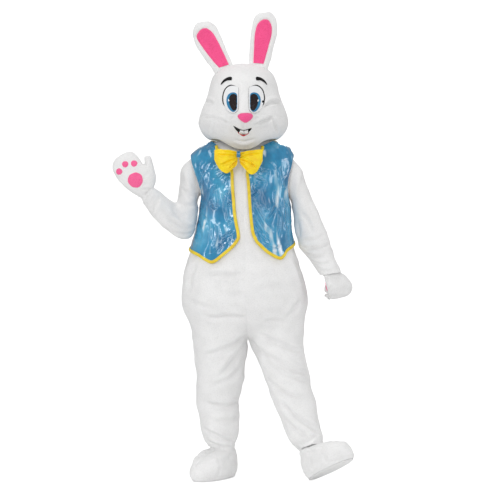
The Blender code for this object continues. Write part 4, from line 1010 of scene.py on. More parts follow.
def shoe(word, origin, ahead, pitch):
    f = np.array([ahead[0] * math.cos(pitch), ahead[1] * math.cos(pitch), math.sin(pitch)])
    up = np.array([-ahead[0] * math.sin(pitch), -ahead[1] * math.sin(pitch), math.cos(pitch)])
    across = np.cross(up, f)
    n = 132
    at = spread(np.array([[r[1] + r[2], r[3], r[0]] for r in SHOE], float), 3.6)
    rows = curve(SHOE, at)
    rows[:, 0] = np.interp(at, np.arange(len(SHOE)), [r[0] for r in SHOE]) * 0.5 + rows[:, 0] * 0.5
    t = 2 * math.pi * np.arange(n) / n
    u = rows[:, 1:2] + rows[:, 2:3] * np.cos(t)
    w = rows[:, 3:4] * np.sin(t)
    h = np.repeat(rows[:, 0:1], n, axis=1)
    p = origin + f * u[..., None] + across * w[..., None] + up * h[..., None]
    p = p.reshape(-1, 3)
    faces = quads(len(rows), n, around=True)
    cloth = Cloth()
    cloth.add("upper", p, faces)
    cloth.join(0.02)
    c = cloth.p
    if ((c - origin - f * 60 - up * 50) * cloth.n).sum() < 0:
        cloth.panels["upper"] = cloth.panels["upper"][:, ::-1]
        cloth.all = cloth.panels["upper"]
        cloth.refresh()
    q = c - origin
    u, w, h = q @ f, q @ across, q @ up
    by = noise(c, 52, 21) * 2.4 + noise(c, 24, 23) * 1.3 + noise(c, 11, 25) * 0.4
    # the toe's cap, the centre seam over the instep and the heel's seam
    seam_front = np.abs(w)
    by -= 4.2 * np.exp(-((seam_front / 4.8) ** 2)) * ease(u, 10, 40) * ease(h, 20, 45)
    cap = np.abs(u - (138 - 0.0045 * w**2 - 0.16 * h))
    by -= 4.4 * np.exp(-((cap / 5.0) ** 2)) * ease(h, 4, 14)
    side = np.abs(u - (22 + 0.12 * h))
    by -= 3.4 * np.exp(-((side / 5.5) ** 2)) * ease(np.abs(w), 12, 30)
    by -= 1.6 * np.exp(-((w / 4.0) ** 2)) * (u < -10)
    # soft rolls across the instep and round the ankle
    roll = h - 0.30 * (120 - u)
    wob = 7 * noise(c, 60, 27)
    by += 4.2 * np.sin((roll + wob) / 6.5) * np.exp(-(((h - 98) / 20.0) ** 2)) * ease(u, -20, 50)
    by += 2.2 * np.sin((h + wob) / 4.2) * ease(h, 98, 116) * (1 - 0.5 * ease(h, 140, 158))
    by -= 1.4 * np.exp(-((h - 12) / 4.0) ** 2)
    by *= 1 - 0.8 * np.exp(-(h / 9.0) ** 2)
    cloth.move(by)
    cloth.refresh()
    obj = cloth.build("upper", CLOTH, WHITE, piece=f"shoe_{word}_upper")
    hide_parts(f"shoe_{word}_upper")
    SHEETS.append((obj, "hung", [f"shoe_{word}_sole"]))
    # the sole: a flat closed pad with a rounded edge
    m = 96
    t = 2 * math.pi * np.arange(m) / m
    rings = []
    for k, hh in ((0.0, 0.0), (0.5, 0.0), (0.90, 0.0), (0.985, 0.0), (1.0, 0.8), (1.0, 2.0), (0.985, 2.6), (0.90, 2.6), (0.5, 2.6), (0.0, 2.6)):
        rings.append(origin + f * (60 + 128 * k * np.cos(t))[:, None] + across * (62 * k * np.sin(t))[:, None] + up * hh)
    sole = Cloth()
    sole.add("sole", np.array(rings).reshape(-1, 3), quads(len(rings), m, around=True))
    sole.join(0.01)
    s = sole.panels["sole"]
    if ((sole.p - origin - f * 60 - up * 1.3) * sole.n).sum() < 0:
        tri = s[:, 2] == s[:, 3]
        s = np.where(tri[:, None], s[:, [2, 1, 0, 0]], s[:, ::-1])
    obj = make(f"shoe_{word}_sole", sole.p, s, WHITE)
    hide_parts(f"shoe_{word}_sole")


# ---------------------------------------------------------------- the head
HEAD = np.array([
    [345, 345, 345, 0.0, 0.0, 0.0],
    [340, 340, 340, 55, 60, 60],
    [325, 325, 325, 99, 105, 105],
    [300, 300, 300, 128, 138, 138],
    [265, 265, 265, 144, 160, 158],
    [225, 225, 225, 156, 170, 168],
    [185, 185, 185, 168, 174, 172],
    [145, 145, 145, 185, 178, 172],
    [105, 105, 105, 196, 182, 170],
    [70, 70, 70, 194, 182, 164],
    [35, 35, 35, 175, 172, 152],
    [5, 16, 5, 149, 160, 139],
    [-22, 22, -6, 128, 145, 128],
    [-38, 28, -4, 112, 122, 117],
], float)


def head(r, turn, back):
    r, turn = np.broadcast_arrays(np.asarray(r, float), np.asarray(turn, float))
    z_front, z_side, z_back, hw, df, db = np.moveaxis(curve(HEAD, r, before=(340, 340, 340, -55, -60, -60)), -1, 0)
    t = np.radians(turn)
    c = np.clip(np.cos(t), 0, 1)
    c = np.where(np.abs(turn) > 89.999, 0.0, c)
    x, y = hw * np.sin(t), (db if back else -df) * c
    share = c ** (4 if back else 2)
    z = (z_back if back else z_front) * share + z_side * (1 - share)
    if not back:
        ahead = np.sqrt(c)
        y = y - ahead * 74 * np.exp(-((x - 5) / 55) ** 2 / 2 - ((z - 84) / 46) ** 2 / 2)
        y = y - ahead * 22 * np.exp(-((x - 2) / 24) ** 2 / 2) * np.exp(-((z - 150) / 48) ** 2 / 2)
    return np.stack([x, y, z], -1)


FACE_FOLDS = [
    ([(264, 107.6), (268, 104.2), (273, 102.2), (281, 102.6)], 5.2, 6.0, 1),
    ([(254, 125.2), (261, 122.8), (267, 120.4), (273, 116.6)], 4.8, 6.0, 1),
    ([(272, 117.6), (275.5, 124), (278.8, 134)], 4.0, 5.5, -1),
    ([(214, 104), (209, 101.4), (203, 102)], 2.2, 4.5, -1),
    ([(231, 124.4), (222, 120.4), (212, 117.6), (202, 117)], 2.2, 5, -1),
    ([(216, 120), (212, 127), (210, 134)], 2.0, 5, 1),
    ([(236, 116), (230.5, 119), (229.0, 124)], 1.8, 4, -1),
    ([(254, 116.4), (258.6, 119.4), (259.6, 124)], 1.8, 4, 1),
    ([(233, 139), (243.5, 142), (256, 138.4)], 1.6, 5, -1),
    ([(243.6, 122.6), (243.5, 126), (243.6, 129.4)], 2.0, 2.6, 1),
]


def mask():
    cloth = Cloth()
    rows = np.concatenate([np.linspace(0, 8, 72)])
    low = np.linspace(8, 13, 46)
    turns = np.linspace(0, 90, 49)
    for side, word in ((-1, "right"), (1, "left")):
        r, t = np.meshgrid(rows, turns * side, indexing="ij")
        cloth.add(f"mask_crown_{word}", head(r, t, False), quads(len(rows), len(turns)), flip=side > 0)
    full = np.concatenate([-turns[:0:-1], turns])
    r, t = np.meshgrid(low, full, indexing="ij")
    cloth.add("mask_jaw", head(r, t, False), quads(len(low), len(full)), flip=True)
    every = np.concatenate([rows, low[1:]])
    r, t = np.meshgrid(every, full, indexing="ij")
    cloth.add("mask_back", head(r, t, True), quads(len(every), len(full)))
    cloth.join()
    p, n = cloth.p, cloth.n
    centre = p - np.array([0, 0, 130])
    if (centre * n).sum() < 0:
        raise RuntimeError("the head's panels face inwards")
    seam = cloth.near(cloth.seams(), 12.0)
    fronted = np.clip(-n[:, 1] * 1.5 + 0.2, 0, 1)
    by = noise(p, 70, 31) * 1.7 + noise(p, 30, 33) * 0.7 + noise(p, 13, 35) * 0.25
    # the eyes' ground stays even
    q = seen(p)
    for x0 in (231.6, 255.6):
        by *= 1 - 0.7 * np.exp(-(((q[:, 0] - x0) / 10) ** 2 + ((q[:, 1] - 99) / 14) ** 2)) * fronted
    by -= np.where(p[:, 2] > 60, 1.1, 0.8) * np.exp(-((seam / 2.6) ** 2))
    by += creases(p, n, FACE_FOLDS, fronted) * 2.4
    # the cheeks puff a little
    for x0 in (217, 270):
        by += 3.0 * np.exp(-(((q[:, 0] - x0) / 11) ** 2 + ((q[:, 1] - 117) / 9) ** 2)) * fronted
    cloth.move(by)
    cloth.refresh()
    for name in ("mask_crown_right", "mask_crown_left", "mask_jaw", "mask_back"):
        obj = cloth.build(name, 3.0, WHITE)
        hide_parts(name)
        SHEETS.append((obj, "stretched", ["suit_front_right"]))
    return cloth


EARS = {
    "right": [(226, 73.5, 44), (221, 64, 46), (216.3, 56, 51), (211.8, 48, 56), (208, 40, 59), (205.3, 32, 56), (203.8, 26, 46), (203.2, 22.2, 28)],
    "left": [(257.5, 68.5, 43), (259, 63, 44), (260.2, 56, 49), (261.5, 48, 53), (262.8, 40, 56), (264.4, 31, 58), (265, 22, 53), (264.9, 16, 42), (264.7, 12.6, 25)],
}
EAR_PINK = {
    "right": [((222, 70.7), (229.9, 66.8)), ((212.6, 60.4), (226, 58.5)), ((202.7, 47.5), (220.5, 46.6)), ((196.8, 37.5), (214.6, 35.6)), ((199, 31.5), (211, 31)), ((203, 28.4), (206.6, 28.2))],
    "left": [((253.2, 66.8), (262, 68.8)), ((253.6, 58), (265.4, 57.5)), ((254.1, 47), (268.5, 46.5)), ((254.8, 35), (271.6, 34)), ((257, 25.5), (271.5, 26)), ((260, 21.6), (269, 20.8)), ((263.4, 19.5), (266.6, 19.4))],
}


def inside(points, outline):
    """Signed distance, in drawing units, inside an outline on the front drawing."""
    best = np.full(len(points), 1e9)
    wind = np.zeros(len(points), bool)
    m = len(outline)
    for i in range(m):
        a, b = outline[i], outline[(i + 1) % m]
        d = b - a
        t = np.clip(((points - a) @ d) / max(float(d @ d), 1e-12), 0, 1)
        best = np.minimum(best, np.linalg.norm(points - a - t[:, None] * d, axis=1))
        cross = (a[1] > points[:, 1]) != (b[1] > points[:, 1])
        with np.errstate(divide="ignore", invalid="ignore"):
            x = a[0] + (points[:, 1] - a[1]) * d[0] / (d[1] if d[1] else 1e-12)
        wind ^= cross & (points[:, 0] < x)
    return np.where(wind, best, -best)


def ears(crown):
    on_crown = crown.tree("mask_crown_right", "mask_crown_left", "mask_back")
    for word, line in EARS.items():
        at = -45.0
        mids = [front(x, y, at) for x, y, _ in line]
        n = 7
        rings = []
        for i, (mid, (_, _, half)) in enumerate(zip(mids, line)):
            along = unit(mids[min(i + 1, len(mids) - 1)] - mids[max(i - 1, 0)])
            side = unit(np.cross(np.array([0.0, 1.0, 0.0]), along))
            deep = 15.0 * min(1.0, half / 42.0)
            ring = []
            for k in list(range(n)) + list(range(n - 2, 0, -1)):
                t = -1 + 2 * k / (n - 1)
                sign = -1 if len(ring) < n else 1
                d = deep * max(0.0, math.cos(t * math.pi / 2)) ** 0.8 if abs(t) < 1 else 0.0
                ring.append(mid + side * half * math.sin(t * math.pi / 2) + np.array([0, sign * d, 0]))
            rings.append(ring)
        m = len(rings[0])
        axis = unit(mids[0] - mids[1])
        root = []
        for p in rings[0]:
            hit, normal, _, _ = on_crown.ray_cast(Vector(p - axis * 60.0), Vector(axis))
            root.append(np.array(hit) - np.array(normal) * 1.5 if hit is not None else p)
        rings[0] = root
        points = np.array([p for ring in rings for p in ring])
        faces = quads(len(rings), m, around=True).tolist()
        tags = [0] * len(faces)
        for r, turn in ((0, False), (len(rings) - 1, True)):
            b = r * m
            for k in range(n - 1):
                cap = [b + k, b + k + 1, b + (m - k - 1) % m, b + (m - k) % m]
                if k == 0:
                    cap = [b, b + 1, b + m - 1]
                elif k == n - 2:
                    cap = [b + k, b + k + 1, b + (m - k) % m]
                faces.append(cap if turn else cap[::-1])
                tags.append(1)
        p, f, _ = rounded(points, faces, tags, 3, 5)
        ear = Cloth()
        ear.add("ear", p, f)
        ear.join(0.01)
        if ((ear.p - ear.p.mean(axis=0)) * ear.n).sum() < 0:
            ear.panels["ear"] = ear.panels["ear"][:, ::-1]
            ear.all = ear.panels["ear"]
            ear.refresh()
        left = curve([a for a, _ in EAR_PINK[word]], np.linspace(0, len(EAR_PINK[word]) - 1, 40))
        right = curve([b for _, b in EAR_PINK[word]], np.linspace(0, len(EAR_PINK[word]) - 1, 40))
        outline = np.concatenate([left, right[::-1]])
        q = seen(ear.p)
        deep_in = inside(q, outline) * 4.4
        frontal = np.clip(-ear.n[:, 1] * 2, 0, 1)
        by = noise(ear.p, 45, 41) * 1.5 + noise(ear.p, 18, 43) * 0.6
        by -= frontal * (2.4 * np.exp(-((deep_in / 3.6) ** 2)) + 2.2 * ease(deep_in, 3, 22))
        by += frontal * 1.6 * np.exp(-(((deep_in + 9) / 6.0) ** 2))
        by -= 1.2 * np.exp(-(((np.abs(ear.n[:, 1])) / 0.10) ** 2)) * 0.6
        rootness = np.linalg.norm(ear.p - mids[0], axis=1)
        by += np.sin((ear.p[:, 0] - mids[0][0]) / 5.2 + noise(ear.p, 30, 45) * 2) * 1.6 * np.exp(-(rootness / 52.0) ** 2)
        ear.move(by)
        ear.refresh()
        obj = make(f"ear_{word}", ear.p, ear.panels["ear"], WHITE)
        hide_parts(f"ear_{word}")
        on = ear.tree()
        rows, cols = 150, 44
        left = curve([a for a, _ in EAR_PINK[word]], np.linspace(0, len(EAR_PINK[word]) - 1, rows))
        right = curve([b for _, b in EAR_PINK[word]], np.linspace(0, len(EAR_PINK[word]) - 1, rows))
        share = np.linspace(0, 1, cols)[None, :, None]
        flat = left[:, None] * (1 - share) + right[:, None] * share
        flat = flat.reshape(-1, 2)
        edge_in = np.clip(inside(flat, np.concatenate([left, right[::-1]])) * 4.4, 0, None)
        hits, normals = [], []
        for x, y in flat:
            start = front(x, y, -300)
            d = unit(start - np.array([28.6, -6000.0, -471.0]))
            hit, normal, _, _ = on.ray_cast(Vector(start), Vector(d))
            if hit is None:
                hit, normal, _, _ = on.find_nearest(Vector(front(x, y, at - 15)))
            hits.append(hit)
            normals.append(normal)
        hits, normals = np.array(hits), np.array(normals)
        # it ends just above the crown
        keep = np.ones(len(hits), bool)
        for i, h in enumerate(hits):
            near = on_crown.find_nearest(Vector(h))
            keep[i] = near[3] > 5.0
        keep = keep.reshape(rows, cols).all(axis=1)
        first = int(np.argmax(keep))
        face = quads(rows, cols)
        face = face[face[:, 0] >= first * cols]
        pts = hits + normals * (0.5 + 1.9 * ease(edge_in, 0, 5))[:, None]
        nrm = point_normals(pts, face)
        if (nrm * normals).sum() < 0:
            face, nrm = face[:, ::-1], -nrm
        pts = pts + nrm * (noise(pts, 34, 47) * 0.7 * ease(edge_in, 0, 10))[:, None]
        used = np.unique(face)
        turn = np.full(len(pts), -1)
        turn[used] = np.arange(len(used))
        obj = shell(f"ear_{word}_pink", pts[used], point_normals(pts, face)[used], turn[face], 1.2, EAR_PINK_M, round_edge=True)
        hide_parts(f"ear_{word}_pink")
        SHEETS.append((obj, "laid", [f"ear_{word}"]))


# ---------------------------------------------------------------- the face
def closed_curve(points, step=0.35):
    pts = np.asarray(points, float)
    d = np.linalg.norm(np.roll(pts, -1, axis=0) - pts, axis=1)
    at = np.concatenate([i + np.arange(max(1, int(math.ceil(L / step)))) / max(1, int(math.ceil(L / step))) for i, L in enumerate(d)])
    return curve(pts, at, closed=True)


def laid_disc(outline, on, heights, rings=10, centre=None):
    """A patch dropped on the face: rings in from the outline. heights gives how far it stands out, by share from 0 at the edge to 1 in the middle."""
    mid = outline.mean(axis=0) if centre is None else np.array(centre)
    m = len(outline)
    shares = 1 - (1 - np.linspace(0, 1, rings)) ** 1.0
    shares = np.concatenate([[0.0, 0.012, 0.03], shares[1:-1][shares[1:-1] > 0.05]])
    flat = np.concatenate([outline + (mid - outline) * s for s in shares] + [mid[None]])
    rise = np.concatenate([np.full(m, s) for s in shares] + [[1.0]])
    hits, normals = [], []
    for x, y in flat:
        start = front(x, y, -420)
        d = unit(start - np.array([28.6, -6000.0, -471.0]))
        hit, normal, _, _ = on.ray_cast(Vector(start), Vector(d))
        if hit is None:
            hit, normal, _, _ = on.find_nearest(Vector(front(x, y, -185)))
        hits.append(hit)
        normals.append(normal)
    hits, normals = np.array(hits), np.array(normals)
    k = len(shares)
    faces = []
    for r in range(k - 1):
        a = r * m + np.arange(m)
        b = r * m + (np.arange(m) + 1) % m
        faces.append(np.stack([a, b, b + m, a + m], -1))
    a = (k - 1) * m + np.arange(m)
    b = (k - 1) * m + (np.arange(m) + 1) % m
    faces.append(np.stack([a, b, np.full(m, k * m), np.full(m, k * m)], -1))
    faces = np.concatenate(faces)
    pts = hits + normals * heights(rise)[:, None]
    n = point_normals(pts, faces)
    if (n * normals).sum() < 0:
        tri = faces[:, 2] == faces[:, 3]
        faces = np.where(tri[:, None], np.stack([faces[:, 1], faces[:, 0], faces[:, 2], faces[:, 3]], -1), faces[:, ::-1])
        n = -n
    return pts, n, faces


def patch(name, outline, on, heights, thick, mat, node=None, rings=10, centre=None, form="sheet", rests=("mask_jaw",)):
    pts, n, faces = laid_disc(outline, on, heights, rings, centre)
    obj = shell(name, pts, n, faces, thick, mat, round_edge=True)
    if node:
        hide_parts(node)
    if form == "sheet":
        SHEETS.append((obj, "laid", list(rests)))
    return obj, BVHTree.FromPolygons([Vector(q) for q in pts], [tuple(dict.fromkeys(f)) for f in faces.tolist()])


EYE = [(237.9, 87.6), (238.5, 92), (238.7, 98), (238.7, 104), (238.2, 109.4), (235.8, 112.5), (231.6, 112.9), (228.2, 111.2), (225.6, 107.4), (224.0, 102), (223.8, 96.5), (225.2, 91), (228.2, 87.4), (232.4, 86.0)]
IRIS = [(236.9, 94.4), (237.2, 99), (237.2, 104), (236.9, 108.4), (235.0, 111.4), (232.2, 111.6), (229.0, 108.8), (227.0, 104.4), (226.6, 99.2), (228.2, 94.8), (231.4, 92.7), (234.6, 92.6)]
PUPIL = [(237.0, 96.4), (237.25, 100), (237.2, 103.4), (236.5, 106), (237.0, 108), (235.8, 109.8), (233.5, 110.6), (231.4, 108.4), (229.7, 104.4), (229.0, 100.2), (229.6, 96.8), (231.4, 94.5), (234.4, 94.0)]
BROW = [(231.6, 77.2), (228.2, 77.3), (224.6, 79.2), (222.2, 81.8), (220.9, 84.3), (221.3, 84.7), (223.2, 83.0), (225.6, 81.2), (228.6, 80.2), (231.4, 80.3)]


def face(cloth):
    skin = cloth.tree("mask_crown_right", "mask_crown_left", "mask_jaw")
    for word, turn, shift in (("right", lambda x: x, 0.0), ("left", lambda x: 487.2 - x, 0.6)):
        def line(points, more=0.0):
            return closed_curve([(turn(x) + more, y) for x, y in points])

        eye = line(EYE)
        mid = eye.mean(axis=0)
        # the dark edging shows past the white along the outer and the upper edge
        away = (eye - mid) / np.linalg.norm(eye - mid, axis=1, keepdims=True)
        out = -away[:, :1] if word == "right" else away[:, :1]
        rim = eye + away * (0.10 + 1.18 * ease(out + 0.55 * (-away[:, 1:]), 0.15, 0.75) * (1 - 0.6 * ease(away[:, 1:], 0.45, 0.9)))
        patch(f"eye_{word}_edging", rim, skin, lambda s: 2.0 + 0 * s, 1.0, BLACK_M, rings=3, form="sheet")
        obj, on = patch(f"eye_{word}", eye, skin, lambda s: 2.8 + 1.2 * ease(s, 0, 0.5), 1.2, EYE_WHITE_M, f"eye_{word}", rings=14)
        rim_iris = line(IRIS)
        m2 = rim_iris.mean(axis=0)
        obj, on = patch(f"iris_{word}", rim_iris, on, lambda s: 0.75 + 0 * s, 0.6, IRIS_M, f"iris_{word}", rings=12)
        del m2
        obj, on = patch(f"pupil_{word}", line(PUPIL), on, lambda s: 0.7 + 0 * s, 0.55, PUPIL_M, f"pupil_{word}", rings=8)
        spot = (229.0, 100.2) if word == "right" else (257.9, 100.4)
        a = np.linspace(0, 2 * math.pi, 25)[:-1]
        dot = np.stack([spot[0] + 0.9 * np.cos(a), spot[1] + 1.15 * np.sin(a)], -1)
        both = BVHTree.FromPolygons(*lay_tree(bpy.data.objects[f"sewn_iris_{word}"]))
        patch(f"glint_{word}", dot, both, lambda s: 0.7 + 0 * s, 0.5, EYE_WHITE_M, rings=3, rests=(f"iris_{word}",))
        patch(f"brow_{word}", line(BROW, shift), skin, lambda s: 1.4 + 1.2 * ease(s, 0, 0.3), 1.2, BLACK_M, f"brow_{word}", rings=6)
    nose = closed_curve([(240.0, 114.3), (245.2, 113.7), (250.4, 114.1), (252.3, 116.0), (251.2, 118.6), (248.0, 121.2), (245.3, 122.3), (242.6, 121.2), (239.6, 118.8), (238.2, 116.2)])
    patch("nose", nose, skin, lambda s: 2.4 + 12.5 * np.sqrt(np.clip(1 - (1 - s) ** 2.6, 0, 1)) - 1.0 * np.exp(-((s - 0.12) / 0.05) ** 2), 2.0, NOSE_M, "nose", rings=20, form="pad")
    upper = curve([(233.4, 125.6), (236.6, 127.4), (239.6, 129.0), (241.6, 129.6), (243.6, 129.8), (245.8, 129.6), (247.8, 129.0), (249.6, 128.4), (251.3, 127.8)], np.linspace(0, 8, 60))
    lower = curve([(233.8, 126.4), (236.0, 129.6), (239.0, 132.6), (241.4, 133.9), (243.5, 134.7), (245.6, 134.1), (247.6, 132.8), (249.8, 130.8), (251.5, 128.6)], np.linspace(0, 8, 60))
    obj, on = patch("mouth", np.concatenate([upper, lower[::-1]]), skin, lambda s: 1.5 + 0 * s, 1.0, BLACK_M, "mouth", rings=8, centre=(243.4, 131.4))
    inner = curve([(238.4, 131.9), (240.6, 133.3), (243.5, 134.5), (246.4, 133.5), (248.6, 132.2)], np.linspace(0, 4, 40))
    outer = curve([(238.1, 132.6), (240.3, 134.4), (243.5, 135.9), (246.7, 134.6), (248.9, 132.8)], np.linspace(0, 4, 40))
    tongue_edge = np.concatenate([inner, outer[::-1]])
    patch_strip("lip", inner, outer, skin, 2.2, 1.4, RED_M)
    del tongue_edge
    for x0, x1, name in ((240.4, 243.75, "teeth"), (244.0, 247.4, "tooth_left")):
        a = np.array([(x0 - 0.3, 129.0), (x1, 129.3), (x1, 133.5), ((x0 + x1) / 2 + 0.2, 133.6), (x0 + 0.5, 132.4)] if name == "teeth" else [(x0, 129.3), (x1 + 0.3, 129.0), (x1 - 0.5, 132.4), ((x0 + x1) / 2 - 0.2, 133.6), (x0, 133.5)])
        dense = np.concatenate([a[i] + (a[(i + 1) % len(a)] - a[i]) * np.linspace(0, 1, 9)[:-1, None] for i in range(len(a))])
        patch(name, dense, on, lambda s: 1.1 + 0.4 * ease(s, 0, 0.4), 0.9, TEETH_M, "teeth" if name == "teeth" else None, rings=6, rests=("mouth",))


def lay_tree(obj):
    verts = [Vector((v.co.x * 1000, v.co.y * 1000, v.co.z * 1000)) for v in obj.data.vertices]
    return verts, [tuple(p.vertices) for p in obj.data.polygons]


def patch_strip(name, upper, lower, on, out, thick, mat):
    cols = 7
    share = np.linspace(0, 1, cols)[None, :, None]
    flat = (upper[:, None] * (1 - share) + lower[:, None] * share).reshape(-1, 2)
    hits, normals = [], []
    for x, y in flat:
        start = front(x, y, -420)
        d = unit(start - np.array([28.6, -6000.0, -471.0]))
        hit, normal, _, _ = on.ray_cast(Vector(start), Vector(d))
        hits.append(hit)
        normals.append(normal)
    hits, normals = np.array(hits), np.array(normals)
    lift = np.tile(np.sin(math.pi * np.linspace(0, 1, cols)), len(upper)) * 1.2
    pts = hits + normals * (out + lift)[:, None]
    faces = quads(len(upper), cols)
    n = point_normals(pts, faces)
    if (n * normals).sum() < 0:
        faces, n = faces[:, ::-1], -n
    obj = shell(name, pts, n, faces, thick, mat, round_edge=True)
    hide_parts(name)
    SHEETS.append((obj, "laid", ["mask_jaw"]))


# ---------------------------------------------------------------- the vest
VEST_OUT = 7.5
VINYL = 1.0
VEST_EDGE = {
    -1: ([(217.6, 146.5), (221.5, 154), (227, 162.5), (232.7, 171.1), (233.4, 182), (234.1, 192.5), (235.0, 204), (235.9, 214.8), (237.6, 225), (239.3, 233.5), (239.6, 239)],
         [(239.6, 239), (233.4, 247.4), (224.6, 255), (213.4, 263.3), (204.6, 260), (197.6, 255.4), (190.0, 249.0)]),
    1: ([(261.4, 147), (258, 154), (252, 163), (246.4, 172), (247.2, 182), (247.9, 192.5), (248.6, 204), (249.4, 214.8), (250.4, 224), (251.8, 233.5), (255.6, 242.4)],
        [(255.6, 242.4), (261.6, 248.6), (268.4, 254.4), (279.0, 259.6), (283.8, 256.6), (287.6, 250.6), (291.0, 243.4)]),
}
VEST_ARM = dict(wide=0.30, top=3.6, bottom=8.9)


def on_front(x, y, side):
    best, r0, r1, s0, s1 = None, 0.3, 14.0, 0.0, 1.0
    for _ in range(6):
        r, s = np.meshgrid(np.linspace(r0, r1, 61), np.linspace(s0, s1, 41), indexing="ij")
        q = seen(suit(r, s, side, False) + np.array([0, -VEST_OUT, 0]))
        d = (q[..., 0] - x) ** 2 + (q[..., 1] - y) ** 2
        i, j = np.unravel_index(int(np.argmin(d)), d.shape)
        best = (float(r[i, j]), float(s[i, j]))
        dr, ds = (r1 - r0) / 14, (s1 - s0) / 10
        r0, r1 = max(0.3, best[0] - dr), best[0] + dr
        s0, s1 = max(0.0, best[1] - ds), min(1.0, best[1] + ds)
    return best


def skin_normal(r, s, side, back):
    a = suit(r + 0.08, s, side, back) - suit(np.maximum(r - 0.08, 0), s, side, back)
    b = suit(r, s + 0.02, side, back) - suit(r, np.maximum(s - 0.02, -0.02), side, back)
    n = np.cross(a, b)
    n[..., 0] = np.where(s < 0.02, 0.0, n[..., 0])
    n = unit(n)
    want = np.stack([side * np.sin(s * math.pi / 2), (1 if back else -1) * np.cos(s * math.pi / 2), np.where(r < 3, 0.25, 0.0)], -1)
    return n * np.where((n * want).sum(-1) > 0, 1.0, -1.0)[..., None]


def vest_point(r, s, side, back, out=VEST_OUT):
    r, s = np.broadcast_arrays(np.asarray(r, float), np.asarray(s, float))
    extra = 2.0 * (1 - s) if back else 0.0 * s
    return suit(r, s, side, back) + skin_normal(r, s, side, back) * (out + extra)[..., None]


VEST_FOLDS = [
    # the wearer's right front
    ([(206, 160), (202.5, 170), (199.4, 180), (197.4, 187)], 2.4, 4.0, 1),
    ([(204, 176), (201, 187), (198.6, 198), (197.8, 206)], 2.6, 4.0, -1),
    ([(216.8, 184), (213, 193), (210, 202.5)], 3.0, 4.0, -1),
    ([(210, 202.5), (212, 206), (215.2, 210)], 2.6, 3.4, 1),
    ([(216, 186), (217.6, 197), (216, 209)], 2.2, 4.0, 1),
    ([(222.6, 192), (224, 201), (225, 210), (228, 224)], 2.8, 3.8, 1),
    ([(231, 176.5), (227.4, 178), (224.2, 182)], 2.2, 2.8, 1),
    ([(232, 190), (228.4, 191.2), (226, 195)], 2.4, 2.8, 1),
    ([(233.4, 202), (229.6, 203), (226.6, 208)], 2.4, 3.0, 1),
    ([(234.6, 218), (230, 221), (226.6, 227)], 2.6, 3.2, 1),
    ([(234, 231), (227.4, 233.4), (221, 239)], 2.4, 3.4, 1),
    ([(222, 163), (216, 168), (209, 169.5)], 2.0, 5.0, 1),
    ([(226, 169), (219, 175.6), (211, 177.5)], 2.2, 4.4, 1),
    ([(202, 214), (207, 221), (209, 232)], 2.4, 5.0, -1),
    ([(196.6, 218), (200, 228), (200.8, 240)], 2.2, 5.0, -1),
    ([(214, 224), (216, 236), (212, 249)], 1.8, 6.0, 1),
    ([(221, 244), (216, 250), (208, 252)], 1.8, 4.0, 1),
    # the wearer's left front
    ([(257.6, 182), (253.6, 187), (256.4, 192), (252.4, 197), (255.4, 203)], 3.2, 3.4, 1),
    ([(250.6, 203), (256, 213), (262, 224), (271, 237)], 3.4, 3.8, -1),
    ([(255, 203), (261, 213), (267, 223), (275, 232)], 2.8, 3.6, -1),
    ([(251, 213), (255, 222), (261, 232), (268, 241)], 2.8, 3.6, -1),
    ([(276.6, 203.6), (272.6, 211), (267, 220)], 2.8, 3.4, -1),
    ([(275.2, 189.5), (275.2, 197), (276.6, 205)], 2.6, 3.2, 1),
    ([(277, 207), (279.6, 217), (279, 227), (277, 239)], 3.2, 3.8, 1),
    ([(284, 196), (286.4, 207), (286.8, 220), (288, 233)], 2.8, 4.4, -1),
    ([(262, 243), (268, 247), (275, 248), (281, 246)], 2.6, 3.6, 1),
    ([(266, 250.6), (273, 253), (279, 252)], 2.0, 3.0, 1),
    ([(254, 166), (261, 170), (269, 171)], 2.2, 4.6, -1),
    ([(251, 172), (258, 178), (266, 180)], 2.4, 4.2, -1),
    ([(268, 160), (275, 168), (280, 180)], 2.2, 5.0, 1),
    ([(249, 190), (252, 193)], 1.6, 2.6, 1),
    ([(262, 194), (264, 203), (269, 212)], 2.2, 4.0, -1),
    ([(256, 231), (259, 238), (262, 243)], 2.2, 3.4, -1),
]
VEST_BACK_FOLDS = [
    ([(214, 162), (228, 170), (246, 172), (262, 168)], 2.6, 5.0, 1),
    ([(206, 176), (218, 186), (236, 190)], 2.6, 4.4, 1),
    ([(280, 174), (268, 186), (252, 191)], 2.8, 4.4, -1),
    ([(200, 196), (212, 208), (232, 214)], 2.8, 4.4, 1),
    ([(288, 196), (276, 210), (256, 217)], 2.8, 4.4, -1),
    ([(198, 218), (214, 228), (238, 231)], 3.0, 4.6, 1),
    ([(290, 220), (272, 230), (250, 233)], 2.8, 4.6, -1),
    ([(216, 236), (222, 245), (224, 255)], 2.4, 4.6, 1),
    ([(268, 236), (262, 246), (261, 256)], 2.4, 4.6, -1),
    ([(241, 196), (243, 208), (240, 222)], 2.4, 4.4, 1),
    ([(248, 176), (247, 186), (250, 196)], 2.0, 4.0, -1),
]


